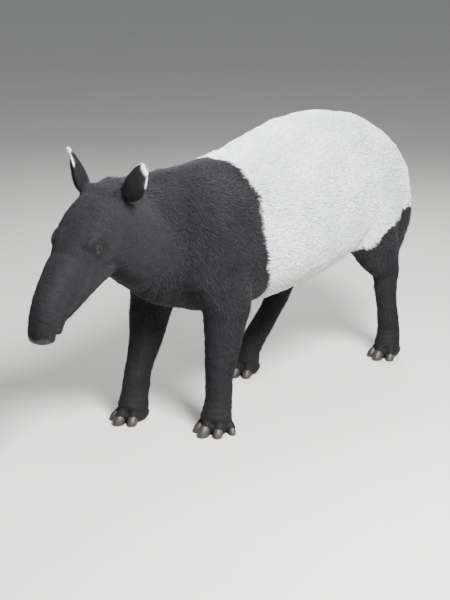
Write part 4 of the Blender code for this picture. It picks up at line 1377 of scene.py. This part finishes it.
# Coat
coats = {
    "bodyCoat": {
        "cover": "bodyCover",
        "shares": 6,
        "spacing": 0.0039,
        "most": 140000.0,
        "width": 0.058,
        "thickness": 0.030,
        "arch": 0.075,
        "lift": 0.10,
        "length": 1.0,
        "untidy": 0.16,
        "seed": 3,
    },
    "headCoat": {
        "cover": "headCover",
        "shares": 3,
        "spacing": 0.0022,
        "most": 380000.0,
        "width": 0.095,
        "thickness": 0.030,
        "arch": 0.06,
        "lift": 0.12,
        "length": 1.0,
        "untidy": 0.14,
        "seed": 8,
    },
    "napeCoat": {
        "cover": "napeCover",
        "shares": 1,
        "spacing": 0.0034,
        "most": 200000.0,
        "width": 0.050,
        "thickness": 0.026,
        "arch": 0.10,
        "lift": 0.22,
        "length": 1.1,
        "untidy": 0.22,
        "seed": 12,
    },
    "lashes": {
        "cover": "lashCover",
        "shares": 1,
        "spacing": 0.0012,
        "most": 1500000.0,
        "width": 0.028,
        "thickness": 0.024,
        "arch": 0.16,
        "lift": 1.5,
        "length": 1.9,
        "untidy": 0.20,
        "seed": 21,
    },
    "whiskers": {
        "cover": "whiskerCover",
        "shares": 1,
        "spacing": 0.0105,
        "most": 30000.0,
        "width": 0.011,
        "thickness": 0.010,
        "arch": 0.10,
        "lift": 0.8,
        "length": 3.6,
        "untidy": 0.35,
        "seed": 27,
    },
}

tuftSockets = (
    ("Geometry", "Geometry", None),
    ("Cover", "Float", "cover"),
    ("Spacing", "Float", "spacing"),
    ("Most", "Float", "most"),
    ("Width", "Float", "width"),
    ("Thickness", "Float", "thickness"),
    ("Arch", "Float", "arch"),
    ("Lift", "Float", "lift"),
    ("Length", "Float", "length"),
    ("Untidy", "Float", "untidy"),
    ("Share", "Int", "share"),
    ("Shares", "Int", "shares"),
    ("Seed", "Int", "seed"),
    ("Fur", "Material", None),
)


blade = {
    "rootWidth": 0.75,  # as a share of the tuft's width
    "widening": 2.3,  # more of it for each length along the tuft
    "patchAcross": 0.0016,  # each tuft's own patch on the map
    "patchAlong": 0.0028,
    "lengths": (0.75, 1.2),
}


def bladeNodes(tree, given):  # a three-sided cone, flattened, arched and widest in its middle
    cone = {"Vertices": 3, "Side Segments": 2, "Radius Top": 0.0, "Radius Bottom": 1.0, "Depth": 1.0}
    shape = addNode(tree, "GeometryNodeMeshCone", {"fill_type": "NGON"}, cone, "Mesh")
    position = addNode(tree, "GeometryNodeInputPosition")
    x, y, z = addNode(tree, "SeparateXYZ", None, {0: position}).node.outputs
    patchX = addNode(tree, "Math", multiplying, {0: y, 1: blade["patchAcross"]})
    patchY = addNode(tree, "Math", multiplying, {0: z, 1: blade["patchAlong"]})
    patch = addNode(tree, "CombineXYZ", None, {"X": patchX, "Y": patchY})
    for name, kind, value in (("patch", "FLOAT_VECTOR", patch), ("along", "FLOAT", z)):
        inputs = {"Geometry": shape, "Name": name, "Value": value}
        settings = {"data_type": kind, "domain": "POINT"}
        shape = addNode(tree, "GeometryNodeStoreNamedAttribute", settings, inputs)
    width = addNode(tree, "Math", multiplyAdding, {0: z, 1: blade["widening"], 2: blade["rootWidth"]})
    thick = addNode(tree, "Math", multiplying, {0: x, 1: width})
    thick = addNode(tree, "Math", multiplying, {0: thick, 1: given["Thickness"]})
    wide = addNode(tree, "Math", multiplying, {0: y, 1: width})
    wide = addNode(tree, "Math", multiplying, {0: wide, 1: given["Width"]})
    rest = addNode(tree, "Math", {"operation": "SUBTRACT"}, {0: 1.0, 1: z})
    arch = addNode(tree, "Math", multiplying, {0: z, 1: rest})
    arch = addNode(tree, "Math", multiplying, {0: arch, 1: given["Arch"]})
    bowed = addNode(tree, "Math", multiplyAdding, {0: arch, 1: 4.0, 2: thick})
    shaped = addNode(tree, "CombineXYZ", None, {"X": bowed, "Y": wide, "Z": z})
    shape = addNode(tree, "GeometryNodeSetPosition", None, {"Geometry": shape, "Position": shaped})
    return addNode(tree, "GeometryNodeSetShadeSmooth", None, {"Geometry": shape})


def tuftTree():  # closed blades rooted in the skin, lying the way the coat lies
    tree = bpy.data.node_groups.new("coatTufts", "GeometryNodeTree")
    for name, kind, key in tuftSockets:
        tree.interface.new_socket(name, in_out="INPUT", socket_type="NodeSocket" + kind)
    tree.interface.new_socket("Geometry", in_out="OUTPUT", socket_type="NodeSocketGeometry")
    given = addNode(tree, "NodeGroupInput").node.outputs
    fields = {}
    for name in ("lie", "furLength", "unwrap", "patch"):
        kind = "FLOAT" if name == "furLength" else "FLOAT_VECTOR"
        fields[name] = addNode(tree, "GeometryNodeInputNamedAttribute", {"data_type": kind}, {"Name": name})
    inputs = {"Mesh": given["Geometry"], "Distance Min": given["Spacing"], "Density Max": given["Most"]}
    inputs |= {"Density Factor": given["Cover"], "Seed": given["Seed"]}
    scattering = {"distribute_method": "POISSON"}
    roots = addNode(tree, "GeometryNodeDistributePointsOnFaces", scattering, inputs, "Points")
    outward = roots.node.outputs["Normal"]
    chance = addNode(tree, "FunctionNodeRandomValue", {"data_type": "FLOAT"}, {"Seed": given["Seed"]}, 1)
    settings = {"data_type": "FLOAT", "domain": "POINT"}
    inputs = {"Geometry": roots, "Name": "shade", "Value": chance}
    roots = addNode(tree, "GeometryNodeStoreNamedAttribute", settings, inputs)

    # each piece of the coat takes every so many of the roots
    index = addNode(tree, "GeometryNodeInputIndex")
    turn = addNode(tree, "FunctionNodeIntegerMath", {"operation": "MODULO"}, {0: index, 1: given["Shares"]})
    comparing = {"data_type": "INT", "operation": "EQUAL"}
    mine = addNode(tree, "FunctionNodeCompare", comparing, {2: turn, 3: given["Share"]})

    inputs = {0: (-1, -1, -1), 1: (1, 1, 1), "Seed": given["Share"]}
    stray = addNode(tree, "FunctionNodeRandomValue", {"data_type": "FLOAT_VECTOR"}, inputs)
    stray = addNode(tree, "VectorMath", {"operation": "SCALE"}, {0: stray, "Scale": given["Untidy"]})
    raised = addNode(tree, "VectorMath", {"operation": "SCALE"}, {0: outward, "Scale": given["Lift"]})
    way = addNode(tree, "VectorMath", adding, {0: stray, 1: fields["lie"]})
    way = addNode(tree, "VectorMath", adding, {0: way, 1: raised})
    axes = {"primary_axis": "Z", "secondary_axis": "X"}
    inputs = {"Primary Axis": way, "Secondary Axis": outward}
    turned = addNode(tree, "FunctionNodeAxesToRotation", axes, inputs)
    inputs = {2: blade["lengths"][0], 3: blade["lengths"][1], "Seed": given["Shares"]}
    vary = addNode(tree, "FunctionNodeRandomValue", {"data_type": "FLOAT"}, inputs, 1)
    size = addNode(tree, "Math", multiplying, {0: fields["furLength"], 1: given["Length"]})
    size = addNode(tree, "Math", multiplying, {0: size, 1: vary})

    inputs = {"Points": roots, "Selection": mine, "Instance": bladeNodes(tree, given)}
    inputs |= {"Rotation": turned, "Scale": size}
    tufts = addNode(tree, "GeometryNodeInstanceOnPoints", None, inputs)
    solid = addNode(tree, "GeometryNodeRealizeInstances", None, {"Geometry": tufts})
    unwrapped = addNode(tree, "VectorMath", adding, {0: fields["unwrap"], 1: fields["patch"]})
    settings = {"data_type": "FLOAT2", "domain": "CORNER"}
    inputs = {"Geometry": solid, "Name": "OFBake", "Value": unwrapped}
    mapped = addNode(tree, "GeometryNodeStoreNamedAttribute", settings, inputs)
    coloured = addNode(tree, "GeometryNodeSetMaterial", None, {"Geometry": mapped, "Material": given["Fur"]})
    addNode(tree, "NodeGroupOutput", None, {"Geometry": coloured})
    return tree


def growCoat(name, plan, tree):
    grown = []
    for share in range(plan["shares"]):
        ground = bpy.data.objects.new("ground", skin.data)
        workshop.objects.link(ground)
        modifier = ground.modifiers.new("Tufts", "NODES")
        modifier.node_group = tree
        values = {**plan, "share": share}
        sockets = {item.name: item.identifier for item in tree.interface.items_tree if item.in_out == "INPUT"}
        for label, kind, key in tuftSockets:
            if label == "Fur":
                modifier[sockets[label]] = fur
            elif label == "Cover":
                modifier[sockets[label] + "_use_attribute"] = True
                modifier[sockets[label] + "_attribute_name"] = plan["cover"]
            elif key:
                modifier[sockets[label]] = values[key]
        coat = evaluated(ground, f"{name}{share + 1}", tapir)
        bpy.data.objects.remove(ground)
        for extra in (*coatFields, "patch", "bare", "innerEar"):
            layer = coat.data.attributes.get(extra)
            if layer:
                coat.data.attributes.remove(layer)
        grown.append(coat)
        count = len(coat.data.vertices) // 7
        print(coat.name, count, "tufts", 10 * count, "triangles")
    return grown


# read from the skin by the tufts, and then of no more use
coatFields = ("unwrap", "lie", "furLength", *[plan["cover"] for plan in coats.values()])
tufts = tuftTree()
coatPieces = [piece for name, plan in coats.items() for piece in growCoat(name, plan, tufts)]
for extra in coatFields:
    skin.data.attributes.remove(skin.data.attributes[extra])


# Eyes and hooves
def buildEyeBall(side):
    along, rise, look = eyeAxes(side)
    name = "eyeLeft" if side > 0 else "eyeRight"
    axes = (along, look.cross(along), look)
    piece = ellipsoid(name, eyeSpot(side), axes, (eye["radius"],) * 3, 64, tapir)
    points = readPoints(piece.data)
    local = points - np.array(eyeSpot(side))
    depth = local @ np.array(look)
    gaze = np.linalg.norm(local - np.outer(depth, look), axis=1)
    front = (depth > 0) * smoothstep(0.0085, 0.0045, gaze)
    writePoints(piece.data, points + np.outer(0.0007 * front, look))
    storeValues(piece.data, "gaze", np.where(depth > 0, gaze, 0.02))
    faceOut(piece.data)
    return piece


def buildHoof(name, place, way, size):
    hoof = hoofShape(name, place, way, size, 0.0, tapir)
    block = meshPiece(
        "ground",
        [(place.x + a, place.y + b, c) for a in (-0.1, 0.1) for b in (-0.1, 0.1) for c in (-0.1, 0.0)],
        [(0, 1, 3, 2), (4, 6, 7, 5), (0, 4, 5, 1), (2, 3, 7, 6), (0, 2, 6, 4), (1, 5, 7, 3)],
    )
    faceOut(block.data)
    boolean(hoof, block, "DIFFERENCE")
    points = readPoints(hoof.data)
    fore = toeAxes(way, legs["hoofTilt"])[0]
    storeValues(hoof.data, "growth", (points - np.array(place)) @ np.array(fore))
    return hoof


eyes = {"eye_left": buildEyeBall(1), "eye_right": buildEyeBall(-1)}
hooves = {}
for foot in legs["feet"]:
    for number, (place, way, size) in enumerate(toesOf(foot), 1):
        node = f"hoof_{foot}_{number}"
        title = "".join(word.capitalize() for word in foot.split("_"))
        hooves[node] = buildHoof(f"hoof{title}{number}", place, way, size)
eyeWet, horn = eyeMaterial(), hoofMaterial()
for piece, material in [(p, eyeWet) for p in eyes.values()] + [(p, horn) for p in hooves.values()]:
    piece.data.transform(shift)
    piece.data.materials.clear()
    piece.data.materials.append(material)
    for polygon in piece.data.polygons:
        polygon.use_smooth = True
print("eyes and hooves made")

# Hand-over to the frame
for piece in list(workshop.objects):
    bpy.data.objects.remove(piece)
flesh = ["ear_left", "ear_right", "head", "neck", "torso", "tail"]
flesh += [f"{part}_{foot}" for part in ("leg", "foot") for foot in legs["feet"]]
for piece in [skin, *coatPieces, *eyes.values(), *hooves.values()]:
    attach(piece, "root")
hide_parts(*flesh)
for node, piece in {**eyes, **hooves}.items():
    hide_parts(node)
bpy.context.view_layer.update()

# Floor, light and camera
studio = {
    "azimuth": 40.0,
    "elevation": 16.5,
    "distance": 5.0,
    "lens": 76.7,
    "target": (-0.2056, 0, 0.305),
    # name: azimuth, elevation, distance, size, watts
    "lights": {
        "key": (66, 45, 3.6, 1.3, 640),
        "fill": (-35, 30, 4.2, 2.6, 30),
        "back": (205, 42, 3.8, 2.0, 130),
        "eyeLight": (98, 14, 3.2, 0.8, 32),
    },
    "air": "e4e7ea",
    "airStrength": 0.42,
    "floorReach": 60,
}


def around(azimuth, elevation, distance, target):
    a, e = math.radians(azimuth), math.radians(elevation)
    away = Vector((math.sin(a) * math.cos(e), -math.cos(a) * math.cos(e), math.sin(e)))
    return Vector(target) + away * distance, away.to_track_quat("Z", "Y").to_matrix().to_4x4()


def buildStudio():
    stageSet = makeCollection("studio")
    reach = studio["floorReach"]
    corners = [(-reach, -reach, 0), (reach, -reach, 0), (reach, reach, 0), (-reach, reach, 0)]
    floor = meshPiece("floor", corners, [(0, 1, 2, 3)], stageSet)
    floor.data.materials.append(floorMaterial())
    for name, (azimuth, elevation, distance, size, watts) in studio["lights"].items():
        lamp = bpy.data.lights.new(name, "AREA")
        lamp.shape = "DISK"
        lamp.size = size
        lamp.energy = watts
        holder = bpy.data.objects.new(name, lamp)
        stageSet.objects.link(holder)
        place, turn = around(azimuth, elevation, distance, (0, 0, 0.5))
        holder.matrix_world = Matrix.Translation(place) @ turn
    world = bpy.data.worlds.new("studioAir")
    world.use_nodes = True
    background = world.node_tree.nodes["Background"]
    background.inputs["Color"].default_value = linear(studio["air"])
    background.inputs["Strength"].default_value = studio["airStrength"]
    bpy.context.scene.world = world
    camera = bpy.data.cameras.new("camera")
    camera.lens = studio["lens"]
    camera.sensor_width = 36.0
    holder = bpy.data.objects.new("camera", camera)
    stageSet.objects.link(holder)
    target = shift @ Vector(studio["target"])
    place, turn = around(studio["azimuth"], studio["elevation"], studio["distance"], target)
    holder.matrix_world = Matrix.Translation(place) @ turn
    bpy.context.scene.camera = holder


buildStudio()
print("studio built")
